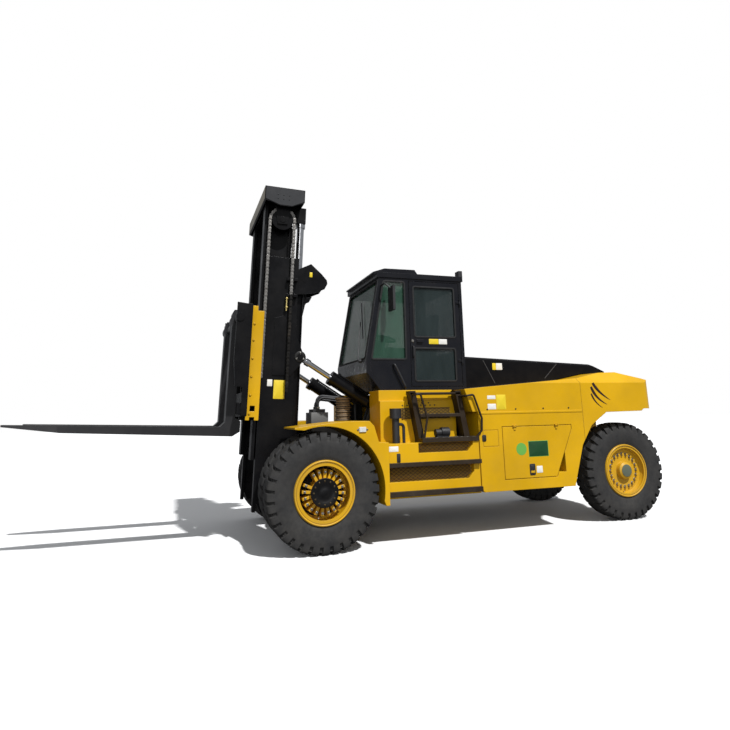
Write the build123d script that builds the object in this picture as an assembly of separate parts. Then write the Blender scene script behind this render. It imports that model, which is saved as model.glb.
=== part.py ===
"""Heavy electric counterbalance forklift: twin drive tyres, steered rear wheels, two-stage mast.

The truck is drawn with X ahead of the drive axle, Y to its left and Z up from the floor, in
millimetres. The mast group is drawn upright and then leaned back about the mast pin. On writing,
everything moves by DRIVE_X, so that the origin is on the floor under the middle of the truck.
"""
import math
import os

from build123d import *

# Wheels
TYRE_R = 700
TYRE_WIDTH = 365
TWIN_GAP = 50
RIM_R = 355
RIM_LIP_R = 379
WHEELBASE = 4700
DRIVE_TYRE_OUT = 1573
STEER_TYRE_OUT = 1290
DRIVE_TYRE_IN = DRIVE_TYRE_OUT - 2 * TYRE_WIDTH - TWIN_GAP
STEER_TYRE_IN = STEER_TYRE_OUT - TYRE_WIDTH
RIM_WALL = 22
DRIVE_HUB_R = 155
DRIVE_SPINDLE_R = 105
STEER_SPINDLE_R = 55
TAB_COUNT = 20
STUD_COUNT = 20
RUNNING_FIT = 0.05
LUG_COUNT = 32
LUG_DEPTH = 34
GROOVE_WIDTH = 46

# Axles and steering
AXLE_TUBE_R = 200
FINAL_DRIVE_R = 215
KINGPIN_Y = 850
KINGPIN_R = 32
KNUCKLE_ARM = 55
STEER_BEAM_HALF_HEIGHT = 115
STEER_BEAM_HALF_WIDTH = 190
STEER_BOSS_R = 62

# Chassis
FRAME_Y = 545
FRAME_WALL = 60
FRAME_BOTTOM = 560
DECK_Z = 1450
DECK_WALL = 50
FRAME_FRONT = 40
DECK_FRONT = -65
FRAME_REAR = -3879.7
FRAME_KICK_UP = -880
OUTRIGGER_XS = (-2450, -3350)
SEATED = 0.3

# Mast group, upright
MAST_LEAN = 2
MAST_PIN_X = 300
MAST_PIN_Z = 520
MAST_PIN_R = 50
MAST_FOOT_R = 82
OUTER_RAIL_Y = 700
OUTER_RAIL_FRONT = 740
OUTER_RAIL_REAR = 280
OUTER_RAIL_BOTTOM = 400
OUTER_RAIL_TOP = 3800
RAIL_WALL = 30
FLANGE_WALL = 42
OUTER_FLANGE_REAR = 335
OUTER_FLANGE_IN = 600
INNER_RAIL_FRONT = 800
INNER_RAIL_REAR = 395
INNER_RAIL_Y = 590
INNER_FLANGE_OUT = 690
INNER_FLANGE_IN = 500
INNER_RAIL_BOTTOM = 1040
BEAM_TOP = 4770
INNER_RAIL_TOP = BEAM_TOP - 190
TIE_WALL = 40
LIFT_X = 245
LIFT_Y = 500
LIFT_BARREL_R = 85
LIFT_ROD_R = 52
LIFT_BARREL_BOTTOM = 1000
LIFT_BARREL_TOP = 3650
LIFT_ROD_BOTTOM = 1750
LIFT_ROD_TOP = BEAM_TOP - 390
LOWERING = 650
RAISING = 1350
BEAM_HALF = 900
BEAM_FRONT = 845
BEAM_REAR = 275
BEAM_WALL = 22
BEAM_NOSE_DROP = 195
BEAM_BELLY_DROP = 270
SHEAVE_X = 560
SHEAVE_Z = BEAM_TOP - 440
SHEAVE_R = 150
CHAIN_Y = 755
CHAIN_WIDTH = 60
CHAIN_DEPTH = 50
CHAIN_LINE_R = 175
CHAIN_ANCHOR_Z = 3260
CARRIAGE_LUG_Z = 2750
MOVING_GAP = 6
HANGER_WALL = 13

# Carriage and forks, upright
CARRIAGE_HALF = 970
CHEEK_WALL = 40
CARRIAGE_PLATE_REAR = 915
CARRIAGE_PLATE_WALL = 50
ROLLER_BAR_Y = 480
ROLLER_BAR_WALL = 50
CARRIAGE_BOTTOM = 1540
CARRIAGE_TOP = 3050
SIDE_PLATE_Y = 800
SIDE_PLATE_WALL = 25
SIDE_PLATE_REAR = 745
SHAFT_X = 1075
SHAFT_Z = 2860
SHAFT_R = 55
FORK_Y = 560
FORK_WIDTH = 250
FORK_FACE = 1150
FORK_SHANK = 120
FORK_TOP = 3000
FORK_BLADE_Z = 1455
FORK_BLADE_WALL = 120
FORK_LENGTH = 2543
FORK_TIP_WALL = 25
FORK_TIP_WIDTH = 120
FORK_SPREAD_OUT = 200
FORK_SPREAD_IN = 380

# Tilt cylinders
TILT_Y = 658
TILT_MAST_X = 210
TILT_MAST_Z = 2400
TILT_BASE_X = -930
TILT_BASE_Z = 1710
TILT_BARREL_R = 88
TILT_ROD_R = 38
TILT_BARREL_LENGTH = 760
TILT_PIN_R = 36
TILT_EYE_SLACK = 12
TILT_EYE_HALF = 34

# Body
BODY_HALF = 1450
BODY_INNER = 900
COVER_FRONT_TOP_X = -1975
COVER_FRONT_TOP_Z = 1912
COVER_SEAM_X = -2085
COVER_SEAM_Z = 1606
COVER_REAR_Z = 2060
BODY_FRONT = -2165
BODY_BOTTOM = 560
WEIGHT_FRONT = -3880
WEIGHT_REAR = -5450
WEIGHT_TOP = 2155
WEIGHT_BOTTOM = 1600
PANEL_GAP = 4
# Ahead of the steer axle, height
ARCH_POINTS = ((1060, BODY_BOTTOM), (980, 790), (870, 1110), (680, 1380), (400, 1560), (-900, 1575))
HATCH_FRONT = -2520
HATCH_REAR = -3660
HATCH_TOP = 1400
HATCH_BOTTOM = 700
HATCH_WALL = 24
HATCH_CORNER = 60
HATCH_SLANT = 300
HATCH_GAP = 8
HATCH_HINGE_XS = (-2720, -3400)
HATCH_PIN_Y = BODY_HALF + 15
HATCH_PIN_Z = HATCH_TOP - 4
HATCH_PIN_R = 5
HATCH_EAR_R = 9
HOOD_PIN_X = -4830
HOOD_PIN_Z = 2150
HOOD_PIN_R = 13
HOOD_EAR_R = 23
HOOD_HINGE_Y = 600
HOOD_HALF = 895
HOOD_WALL = 30
HOOD_FRONT = -2300
HOOD_REAR = -4800
HOOD_EDGE = 26
WEIGHT_CORNER_R = 120

# Fender and side tank
FENDER_OUT = 1540
FENDER_IN = 815
FENDER_ARCH_R = 770
FENDER_WALL = 34
STEP_OUT = 1450
STEP_FRONT = -830
STEP_REAR = -2150
STEP_LOW_Z = 620
STEP_MID_Z = 970
STEP_HIGH_Z = 1257
TANK_TOP = 1770
TANK_FACE = 1200
TREAD_Z = 1570
STRINGER_XS = (-1215, -1885)
STRINGER_WIDTH = 80
STRINGER_SLANT = 110
RAIL_R = 14
TOE_DEPTH = 90
TOE_CORNER = 80
LAMP_X = -484
LAMP_Z = 1418

# Cab
CAB_LEFT = 1090
CAB_RIGHT = -380
CAB_REAR = -2200
CAB_FLOOR_Z = 1915
CAB_SILL_X = -895
CAB_CHIN_X = -700
CAB_CHIN_Z = 2160
SCREEN_LOW_X = -690
SCREEN_LOW_Z = 2310
SCREEN_TOP_X = -900
CAB_ROOF_Z = 3500
CAB_ROOF_WALL = 75
CAB_WALL = 60
GLASS_WALL = 12
DOOR_FRONT = -1350
DOOR_REAR = -2150
DOOR_BOTTOM = 1960
DOOR_TOP = 3470
DOOR_GAP = 8
DOOR_WALL = 50
DOOR_PIN_Y = CAB_LEFT + 14
DOOR_PIN_R = 8
DOOR_HINGE_ZS = (2330, 3180)
CAB_DECK = CAB_FLOOR_Z + 60
SEAT_X = -1720
SEAT_Y = 355

FORK_TIP = FORK_FACE + FORK_LENGTH
LEAN = math.radians(MAST_LEAN)
TIP_REACH = (MAST_PIN_X + (FORK_TIP - MAST_PIN_X) * math.cos(LEAN)
             - (FORK_BLADE_Z - FORK_TIP_WALL - MAST_PIN_Z) * math.sin(LEAN))
DRIVE_X = -(TIP_REACH + WEIGHT_REAR) / 2

SIDES = (("left", 1), ("right", -1))


def block(x_low, x_high, y_low, y_high, z_low, z_high):
    """Box between two opposite corners."""
    size = (x_high - x_low, y_high - y_low, z_high - z_low)
    centre = ((x_high + x_low) / 2, (y_high + y_low) / 2, (z_high + z_low) / 2)
    return Pos(*centre) * Box(*size)


def side_plate(points, y_low, y_high):
    """Prism across the truck, from a side outline of (ahead, height) points."""
    outline = make_face(Plane.XZ.offset(-y_high) * Polyline(*points, close=True))
    return extrude(outline, amount=y_high - y_low, dir=(0, -1, 0))


def plan_plate(points, z_low, z_high):
    """Upright prism from a plan outline of (ahead, left) points."""
    outline = make_face(Plane.XY.offset(z_low) * Polyline(*points, close=True))
    return extrude(outline, amount=z_high - z_low, dir=(0, 0, 1))


def cross_plate(points, x_low, x_high):
    """Lengthwise prism from a front outline of (left, height) points."""
    outline = make_face(Plane.YZ.offset(x_low) * Polyline(*points, close=True))
    return extrude(outline, amount=x_high - x_low, dir=(1, 0, 0))


def bar(start, end, radius):
    """Round bar between two points."""
    run = Vector(*end) - Vector(*start)
    placed = Plane(origin=start, z_dir=run)
    return placed * Cylinder(radius, run.length, align=(Align.CENTER, Align.CENTER, Align.MIN))


def pin(x, z, y_low, y_high, radius):
    """Round bar across the truck."""
    return bar((x, y_low, z), (x, y_high, z), radius)


def spun(profile, x, z):
    """Solid of revolution about a wheel axis, from (left, radius) points."""
    points = [(x, left, z + radius) for left, radius in profile]
    face = make_face(Polyline(*points, close=True))
    return revolve(face, Axis((x, 0, z), (0, 1, 0)), 360)


def pipe(points, bend, radius):
    """Tube along straight runs joined by tangent arcs."""
    path = FilletPolyline(*points, radius=bend)
    start = Plane(origin=path @ 0, z_dir=path % 0)
    return sweep(start * Circle(radius), path=path)


def other_side(shape):
    """The same piece on the right of the truck."""
    return mirror(shape, about=Plane.XZ)


def lean(shape):
    """Turn an upright mast piece back about the mast pin."""
    return shape.rotate(Axis((MAST_PIN_X, 0, MAST_PIN_Z), (0, 1, 0)), -MAST_LEAN)


def write(name, *solids):
    """Write one sub-part, moved from the drive axle to the middle of the truck."""
    placed = [Pos(DRIVE_X, 0, 0) * solid for piece in solids for solid in piece.solids()]
    shape = placed[0] if len(placed) == 1 else Compound(children=placed)
    export_step(shape, f"parts/{name}.step")


def fused(first, *rest):
    """One solid from pieces that meet."""
    result = first
    for piece in rest:
        result = result + piece
    return result


# Wheels

def tyre():
    """One tyre about the wheel axis: beads, sidewalls and a ring of lugs cut in each shoulder."""
    half = TYRE_WIDTH / 2
    # Share of the half width, radius
    half_profile = (
        (0.80, RIM_R),
        (0.84, RIM_R + 40),
        (1.00, 0.72 * TYRE_R),
        (1.00, 0.80 * TYRE_R),
        (0.95, 0.88 * TYRE_R),
        (0.90, 0.955 * TYRE_R),
        (0.78, TYRE_R),
    )
    right = [(-share * half, radius) for share, radius in half_profile]
    left = [(share * half, radius) for share, radius in reversed(half_profile)]
    body = spun(right + left, 0, 0)
    floor = TYRE_R - LUG_DEPTH
    # Left, radius
    groove = cross_plate((
        (0.26 * half, TYRE_R + 20), (0.26 * half, floor), (0.84 * half, floor - 6),
        (0.93 * half, 0.87 * TYRE_R), (1.10 * half, 0.85 * TYRE_R), (1.10 * half, TYRE_R + 20),
    ), -GROOVE_WIDTH / 2, GROOVE_WIDTH / 2)
    grooves = []
    for index in range(LUG_COUNT):
        turn = 360 / LUG_COUNT * index
        grooves.append(Rot(0, turn, 0) * groove)
        grooves.append(Rot(0, turn + 180 / LUG_COUNT, 0) * other_side(groove))
    return body - grooves


def drive_rim():
    """Long rim for two tyres, with the dished centre, its ring of wedge tabs and the hub."""
    low = DRIVE_TYRE_IN + 20
    high = DRIVE_TYRE_OUT - 12
    disc = high - 250
    inner_r = RIM_R - RIM_WALL
    barrel = spun((
        (low, inner_r), (low, RIM_LIP_R), (low + 12, RIM_LIP_R), (low + 12, RIM_R),
        (high - 14, RIM_R), (high - 14, RIM_LIP_R), (high, RIM_LIP_R - 6), (high, RIM_R - 45),
        (high - 40, RIM_R - 45), (high - 60, inner_r),
    ), 0, TYRE_R)
    centre = spun((
        (disc - 30, DRIVE_SPINDLE_R + 35), (disc - 30, inner_r), (disc, inner_r),
        (disc, DRIVE_HUB_R), (high - 30, DRIVE_HUB_R), (high - 18, DRIVE_HUB_R - 14), (high - 18, 0),
        (high - 60, 0), (high - 60, DRIVE_SPINDLE_R + RUNNING_FIT),
        (low + 180, DRIVE_SPINDLE_R + RUNNING_FIT), (low + 180, DRIVE_SPINDLE_R + 35),
    ), 0, TYRE_R)
    rim = barrel + centre
    for index in range(1, TAB_COUNT):
        angle = index * 360 / TAB_COUNT - 40
        tab = block(DRIVE_HUB_R - 6, 268, -17, 17, disc - 5, high - 62)
        tab = Pos(0, 0, TYRE_R) * (Rot(0, angle, 0) * (Rot(-90, 0, 0) * tab))
        rim = rim + tab
    return rim


def steer_rim():
    """Rim with a shallow dished centre, a ring of studs and a hub cap."""
    low = STEER_TYRE_IN + 15
    high = STEER_TYRE_OUT - 12
    disc = high - 70
    inner_r = RIM_R - RIM_WALL
    rim = spun((
        (low, inner_r), (low, RIM_LIP_R), (low + 12, RIM_LIP_R), (low + 12, RIM_R),
        (high - 14, RIM_R), (high - 14, RIM_LIP_R), (high, RIM_LIP_R - 6), (high, RIM_R - 32),
        (high - 30, RIM_R - 32), (disc, RIM_R - 50), (disc, 130), (high - 10, 118), (high + 5, 90),
        (high + 5, 0), (disc - 55, 0), (disc - 55, STEER_SPINDLE_R + RUNNING_FIT),
        (disc - 120, STEER_SPINDLE_R + RUNNING_FIT), (disc - 120, 100), (disc - 35, 115),
        (disc - 35, inner_r),
    ), -WHEELBASE, TYRE_R)
    for index in range(STUD_COUNT):
        angle = math.radians(index * 360 / STUD_COUNT)
        x = -WHEELBASE + 235 * math.cos(angle)
        z = TYRE_R + 235 * math.sin(angle)
        rim = rim + pin(x, z, disc - 5, disc + 34, 15)
    return rim


# Axles

def drive_axle():
    """Axle housing with its motor gearbox, final drives and spindles."""
    housing = pin(0, TYRE_R, -640, 640, AXLE_TUBE_R)
    gearbox = spun(((-260, 0), (-260, 205), (-120, 230), (120, 230), (260, 205), (260, 0)), 0, TYRE_R)
    motor = bar((-120, 0, TYRE_R + 20), (-800, 0, TYRE_R + 20), 185)
    axle = fused(housing, gearbox, motor)
    for _, side in SIDES:
        drum = pin(0, TYRE_R, side * 630, side * 775, FINAL_DRIVE_R)
        spindle = pin(0, TYRE_R, side * 700, side * (DRIVE_TYRE_OUT - 80), DRIVE_SPINDLE_R)
        hanger = side_plate((
            (-60, TYRE_R + 60), (-60, TYRE_R - 120), (120, TYRE_R - 190),
            (MAST_PIN_X + 20, MAST_PIN_Z - 80), (MAST_PIN_X + 85, MAST_PIN_Z - 20),
            (MAST_PIN_X + 60, MAST_PIN_Z + 75), (150, TYRE_R + 120),
        ), 530, 585)
        hanger = hanger if side > 0 else other_side(hanger)
        mast_pin = pin(MAST_PIN_X, MAST_PIN_Z, side * 530, side * (OUTER_RAIL_Y + 12), MAST_PIN_R)
        saddle = block(-300, FRAME_FRONT, 0, FRAME_WALL, TYRE_R + 60, 940)
        saddle = Pos(0, FRAME_Y if side > 0 else -FRAME_Y - FRAME_WALL, 0) * saddle
        axle = fused(axle, drum, spindle, hanger, mast_pin, saddle)
    return axle


def steer_axle():
    """Waisted axle beam with the kingpin bosses and the cross cylinder."""
    half_width = STEER_BEAM_HALF_WIDTH
    outline = [(-WHEELBASE + x, y) for x, y in (
        (half_width, -230), (half_width, 230), (58, KINGPIN_Y - 120), (50, KINGPIN_Y),
        (-50, KINGPIN_Y), (-58, KINGPIN_Y - 120), (-half_width, 230), (-half_width, -230),
        (-58, 120 - KINGPIN_Y), (-50, -KINGPIN_Y), (50, -KINGPIN_Y), (58, 120 - KINGPIN_Y),
    )]
    low = TYRE_R - STEER_BEAM_HALF_HEIGHT
    high = TYRE_R + STEER_BEAM_HALF_HEIGHT
    beam = plan_plate(outline, low, high)
    for _, side in SIDES:
        y = side * KINGPIN_Y
        beam = beam + bar((-WHEELBASE, y, low), (-WHEELBASE, y, high), STEER_BOSS_R)
        bore = bar((-WHEELBASE, y, low - 5), (-WHEELBASE, y, high + 5), KINGPIN_R + RUNNING_FIT)
        beam = beam - bore
    pivot = bar((-WHEELBASE - 330, 0, TYRE_R), (-WHEELBASE + 330, 0, TYRE_R), 70)
    return beam + pivot


def knuckle():
    """Left steering knuckle: two arms round the axle boss, the kingpin and the spindle."""
    low = TYRE_R - STEER_BEAM_HALF_HEIGHT
    high = TYRE_R + STEER_BEAM_HALF_HEIGHT
    x = -WHEELBASE
    post_y = KINGPIN_Y + STEER_BOSS_R + 10
    disc_back = STEER_TYRE_OUT - 12 - 70 - 120
    kingpin = bar((x, KINGPIN_Y, low - KNUCKLE_ARM - 6), (x, KINGPIN_Y, high + KNUCKLE_ARM + 6), KINGPIN_R)
    arms = []
    for z_low in (low - KNUCKLE_ARM - 6, high + 6):
        arms.append(block(x - 60, x + 60, KINGPIN_Y - 10, post_y + 40, z_low, z_low + KNUCKLE_ARM))
        arms.append(bar((x, KINGPIN_Y, z_low), (x, KINGPIN_Y, z_low + KNUCKLE_ARM), 60))
    post = block(x - 60, x + 60, post_y, post_y + 55, low - KNUCKLE_ARM - 6, high + KNUCKLE_ARM + 6)
    spindle = pin(x, TYRE_R, post_y + 20, disc_back + 60, STEER_SPINDLE_R)
    shoulder = pin(x, TYRE_R, post_y + 20, disc_back - 1, STEER_SPINDLE_R + 30)
    return fused(post, kingpin, *arms, spindle, shoulder)


# Chassis

def chassis_frame():
    """Two deep side plates, kicked up over the drive axle, with cross plates and the deck."""
    outline = (
        (FRAME_FRONT, 940), (DECK_FRONT, DECK_Z), (FRAME_REAR, DECK_Z), (FRAME_REAR, 800),
        (FRAME_REAR + 150, FRAME_BOTTOM), (FRAME_KICK_UP - 100, FRAME_BOTTOM), (FRAME_KICK_UP, 660),
        (FRAME_KICK_UP + 60, 940),
    )
    frame = None
    for _, side in SIDES:
        plate = side_plate(outline, FRAME_Y, FRAME_Y + FRAME_WALL)
        for y_low in (FRAME_Y + 30, FRAME_Y + FRAME_WALL + 104):
            ear = side_plate((
                (TILT_BASE_X - 190, DECK_Z - 110), (TILT_BASE_X - 80, TILT_BASE_Z + 40),
                (TILT_BASE_X - 30, TILT_BASE_Z + 70), (TILT_BASE_X + 30, TILT_BASE_Z + 70),
                (TILT_BASE_X + 75, TILT_BASE_Z), (TILT_BASE_X + 190, DECK_Z - 110),
            ), y_low, y_low + 30)
            plate = plate + ear
        shelf = block(TILT_BASE_X - 190, TILT_BASE_X + 190, FRAME_Y + 30, FRAME_Y + FRAME_WALL + 134,
                      DECK_Z - 110, DECK_Z - 60)
        tilt_pin = pin(TILT_BASE_X, TILT_BASE_Z, FRAME_Y + 30, FRAME_Y + FRAME_WALL + 145, TILT_PIN_R)
        plate = fused(plate, shelf, tilt_pin)
        plate = plate if side > 0 else other_side(plate)
        frame = plate if frame is None else frame + plate
    for _, side in SIDES:
        for x in OUTRIGGER_XS:
            arm = block(x - 60, x + 60, FRAME_Y + 10, BODY_INNER - SEATED, 640, 780)
            frame = frame + (arm if side > 0 else other_side(arm))
    deck = block(BODY_FRONT, DECK_FRONT - 15, -FRAME_Y, FRAME_Y, DECK_Z - DECK_WALL, DECK_Z)
    bulkhead = block(-960, -910, -FRAME_Y, FRAME_Y, FRAME_BOTTOM + 40, DECK_Z - DECK_WALL)
    middle = block(-2290, -2240, -FRAME_Y, FRAME_Y, FRAME_BOTTOM + 40, DECK_Z)
    tail = block(FRAME_REAR, FRAME_REAR + 50, -FRAME_Y, FRAME_Y, 800, DECK_Z)
    battery_tray = block(FRAME_REAR + 150, -2240, -FRAME_Y, FRAME_Y, FRAME_BOTTOM, FRAME_BOTTOM + 40)
    cab_posts = []
    for x in (-1000, -2050):
        for y_low in (CAB_RIGHT + 30, 455):
            cab_posts.append(block(x - 60, x + 60, y_low, y_low + 80, DECK_Z, CAB_FLOOR_Z - SEATED))
    return fused(frame, deck, bulkhead, middle, tail, battery_tray, *cab_posts)


def battery_block():
    """Battery pack as one plain mass between the frame plates."""
    return block(FRAME_REAR + 160, -2300, -FRAME_Y + 1, FRAME_Y - 1, FRAME_BOTTOM + 40 + SEATED, 1880)


# Body

def body_section(x_low, x_high):
    """Cross section of the body: upright sides and a slope at the shoulder."""
    shoulder = 1990
    return cross_plate((
        (-BODY_HALF, 300), (BODY_HALF, 300), (BODY_HALF, shoulder), (BODY_HALF - 60, shoulder + 45),
        (BODY_HALF - 180, WEIGHT_TOP + 60), (-BODY_HALF + 180, WEIGHT_TOP + 60),
        (60 - BODY_HALF, shoulder + 45), (-BODY_HALF, shoulder),
    ), x_low, x_high)


def arch_cut():
    """Wheel opening over the steered wheel, open to the floor."""
    points = [(x - WHEELBASE, z) for x, z in ARCH_POINTS]
    front = points[0][0]
    back = points[-1][0]
    return side_plate([(front, 0), *points, (back, 0)], -BODY_HALF - 60, BODY_HALF + 60)


def side_body():
    """Left side body with its raised cover, the wheel opening and the hatch pocket."""
    outline = (
        (BODY_FRONT, BODY_BOTTOM + 40), (BODY_FRONT, COVER_SEAM_Z), (COVER_SEAM_X, COVER_SEAM_Z),
        (COVER_FRONT_TOP_X, COVER_FRONT_TOP_Z), (WEIGHT_FRONT + PANEL_GAP, COVER_REAR_Z),
        (WEIGHT_FRONT + PANEL_GAP, BODY_BOTTOM), (BODY_FRONT - 40, BODY_BOTTOM),
    )
    body = side_plate(outline, BODY_INNER, BODY_HALF) & body_section(WEIGHT_FRONT, COVER_FRONT_TOP_X)
    body = body - arch_cut()
    cab_relief = block(CAB_REAR - 40, COVER_FRONT_TOP_X + 40, BODY_INNER - 10, CAB_LEFT + 30,
                       CAB_FLOOR_Z - 40, 2300)
    pocket = block(HATCH_REAR + 150, HATCH_FRONT - 60, BODY_HALF - 300, BODY_HALF + 10,
                   HATCH_BOTTOM + 60, HATCH_TOP - 60)
    seat = hatch_outline(0, BODY_HALF - HATCH_WALL, BODY_HALF + 10)
    panel = block(-2460, -2220, BODY_HALF - 5, BODY_HALF + 5, 1140, 1360)
    panel = panel - block(-2454, -2226, BODY_HALF - 10, BODY_HALF + 10, 1146, 1354)
    body = body - cab_relief - pocket - seat - panel
    reach = HATCH_PIN_Y + HATCH_EAR_R
    for x in HATCH_HINGE_XS:
        for x_low in (x - 30, x + 18):
            body = fused(
                body,
                block(x_low, x_low + 12, BODY_HALF - 5, reach, HATCH_TOP + 3, HATCH_TOP + 14),
                block(x_low, x_low + 12, HATCH_PIN_Y - 4, reach, HATCH_PIN_Z, HATCH_TOP + 4),
                bar((x_low, HATCH_PIN_Y, HATCH_PIN_Z), (x_low + 12, HATCH_PIN_Y, HATCH_PIN_Z), HATCH_EAR_R),
            )
        body = body + bar((x - 30, HATCH_PIN_Y, HATCH_PIN_Z), (x + 30, HATCH_PIN_Y, HATCH_PIN_Z), HATCH_PIN_R)
    return body


def hatch_outline(inset, y_low, y_high):
    """Prism of the side hatch, its rear edge slanted, smaller by the inset all round."""
    return side_plate((
        (HATCH_FRONT - inset, HATCH_BOTTOM + inset), (HATCH_FRONT - inset, HATCH_TOP - inset),
        (HATCH_REAR + inset, HATCH_TOP - inset), (HATCH_REAR + inset, HATCH_TOP - HATCH_CORNER),
        (HATCH_REAR + HATCH_SLANT + inset, HATCH_BOTTOM + inset),
    ), y_low, y_high)


def side_hatch():
    """Left hatch door, flush with the body, with its top hinge barrel."""
    door = hatch_outline(HATCH_GAP, BODY_HALF - HATCH_WALL + 2, BODY_HALF)
    latch = block(-2990, -2930, BODY_HALF - 4, BODY_HALF + 10, 770, 800)
    door = door + latch
    for x in HATCH_HINGE_XS:
        leaf = block(x - 14, x + 14, BODY_HALF - 1, HATCH_PIN_Y - 5, HATCH_PIN_Z - 50, HATCH_PIN_Z)
        place = Pos(x, HATCH_PIN_Y, HATCH_PIN_Z) * Rot(0, 90, 0)
        ring = place * Cylinder(HATCH_PIN_R + 4, 28)
        bore = place * Cylinder(HATCH_PIN_R + RUNNING_FIT, 40)
        door = door + leaf + ring - bore
    return door


def counterweight():
    """Cast counterweight: rounded in plan, sloped at the shoulders, with the axle pedestal."""
    outline = (
        (WEIGHT_FRONT, 1100), (WEIGHT_FRONT, COVER_REAR_Z), (-4340, WEIGHT_TOP - 10),
        (-4640, WEIGHT_TOP), (-5080, 2055), (WEIGHT_REAR + 40, 1965), (WEIGHT_REAR, 1900),
        (WEIGHT_REAR, 1640), (WEIGHT_REAR + 40, WEIGHT_BOTTOM), (-5000, WEIGHT_BOTTOM), (-4300, 1100),
    )
    plan = (
        (WEIGHT_FRONT, -BODY_HALF), (WEIGHT_FRONT, BODY_HALF), (-5080, BODY_HALF), (-5170, BODY_HALF - 60),
        (-5390, 900), (WEIGHT_REAR, 500), (WEIGHT_REAR, -500), (-5390, -900), (-5170, 60 - BODY_HALF),
        (-5080, -BODY_HALF),
    )
    plan_face = make_face(Plane.XY.offset(900) * Polyline(*plan, close=True))
    corners = [corner for corner in plan_face.vertices() if corner.X < WEIGHT_FRONT - 100]
    rounded = extrude(fillet(corners, WEIGHT_CORNER_R), amount=1400, dir=(0, 0, 1))
    weight = side_plate(outline, -BODY_HALF, BODY_HALF) & rounded
    weight = weight & body_section(WEIGHT_REAR, WEIGHT_FRONT)
    weight = weight - arch_cut()
    pedestal = block(-WHEELBASE - 400, -WHEELBASE + 400, -210, 210, 900, 1640)
    saddle_gap = block(-WHEELBASE - STEER_BEAM_HALF_WIDTH - 40, -WHEELBASE + STEER_BEAM_HALF_WIDTH + 40,
                       -260, 260, 850, 1000)
    feet = []
    for x in (-WHEELBASE - 365, -WHEELBASE + 275):
        foot = block(x, x + 90, -140, 140, TYRE_R - 110, 910)
        feet.append(foot - bar((x - 5, 0, TYRE_R), (x + 95, 0, TYRE_R), 70 + RUNNING_FIT))
    weight = fused(weight, pedestal - saddle_gap, *feet)
    tow_slot = block(WEIGHT_REAR - 5, WEIGHT_REAR + 160, -120, 120, 1730, 1810)
    tow_bore = bar((WEIGHT_REAR + 80, 0, WEIGHT_BOTTOM - 5), (WEIGHT_REAR + 80, 0, 2200), 26)
    weight = weight - tow_slot - tow_bore
    for _, side in SIDES:
        for y in (HOOD_HINGE_Y - 60, HOOD_HINGE_Y + 35):
            ear = fused(
                block(HOOD_PIN_X - HOOD_EAR_R, HOOD_PIN_X + HOOD_EAR_R, y, y + 25, 2080, HOOD_PIN_Z),
                pin(HOOD_PIN_X, HOOD_PIN_Z, y, y + 25, HOOD_EAR_R),
            )
            weight = weight + (ear if side > 0 else other_side(ear))
        place = Pos(HOOD_PIN_X, side * HOOD_HINGE_Y, HOOD_PIN_Z) * Rot(90, 0, 0)
        weight = weight + place * Cylinder(HOOD_PIN_R, 120)
    return weight


def hood():
    """Long folded lid over the battery, open below, hinged at its rear edge."""
    top = ((HOOD_FRONT, 2410), (-4530, 2310), (HOOD_REAR, 2195))
    rest_line = ((HOOD_REAR, 2150), (-4640, WEIGHT_TOP + 8), (-4340, WEIGHT_TOP + 2), (WEIGHT_FRONT, 2070),
                 (HOOD_FRONT, 1950))
    outer = side_plate(top + rest_line, -HOOD_HALF, HOOD_HALF)
    long_edges = [edge for edge in outer.edges() if edge.length > 2000 and edge.center().Z > 2300]
    outer = chamfer(long_edges, HOOD_EDGE)
    inner_points = ((HOOD_FRONT - HOOD_WALL, 2410 - HOOD_WALL - 3), (-4520, 2310 - HOOD_WALL - 2),
                    (HOOD_REAR + 80, 2205), (HOOD_REAR + 80, 1500), (HOOD_FRONT - HOOD_WALL, 1500))
    inner = side_plate(inner_points, -HOOD_HALF + HOOD_WALL, HOOD_HALF - HOOD_WALL)
    lid = outer - inner
    for _, side in SIDES:
        place = Pos(HOOD_PIN_X, side * HOOD_HINGE_Y, HOOD_PIN_Z) * Rot(90, 0, 0)
        ring = place * Cylinder(HOOD_PIN_R + 10, 58)
        bore = place * Cylinder(HOOD_PIN_R + RUNNING_FIT, 80)
        y = side * HOOD_HINGE_Y
        arm = block(HOOD_PIN_X, HOOD_REAR + 10, y - 29, y + 29, HOOD_PIN_Z + 4, HOOD_PIN_Z + 27)
        lid = lid + ring + arm - bore
    return lid


# Fenders, steps and tanks

def fender():
    """Left drive fender: a flat top shelf and an arch round the twin tyres."""
    outer = side_plate((
        (370, 1462), (0, 1500), (-260, 1522), (-580, 1522), (-640, 1457), (-700, STEP_HIGH_Z),
        (STEP_FRONT, STEP_HIGH_Z - 6), (STEP_FRONT, 500), (-780, 500), (-700, 700), (0, 1400), (370, 1440),
    ), FENDER_IN, FENDER_OUT)
    arch = pin(0, TYRE_R, FENDER_IN - 10, FENDER_OUT + 10, FENDER_ARCH_R)
    return outer - arch


def toe_recess(x_rear, x_front, z_low, z_high):
    """Prism of a toe recess, its lower rear corner cut off, as deep as the toe room."""
    return side_plate((
        (x_front, z_low), (x_front, z_high), (x_rear, z_high), (x_rear, z_low + TOE_CORNER),
        (x_rear + TOE_CORNER, z_low),
    ), STEP_OUT - TOE_DEPTH, STEP_OUT + 10)


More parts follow.
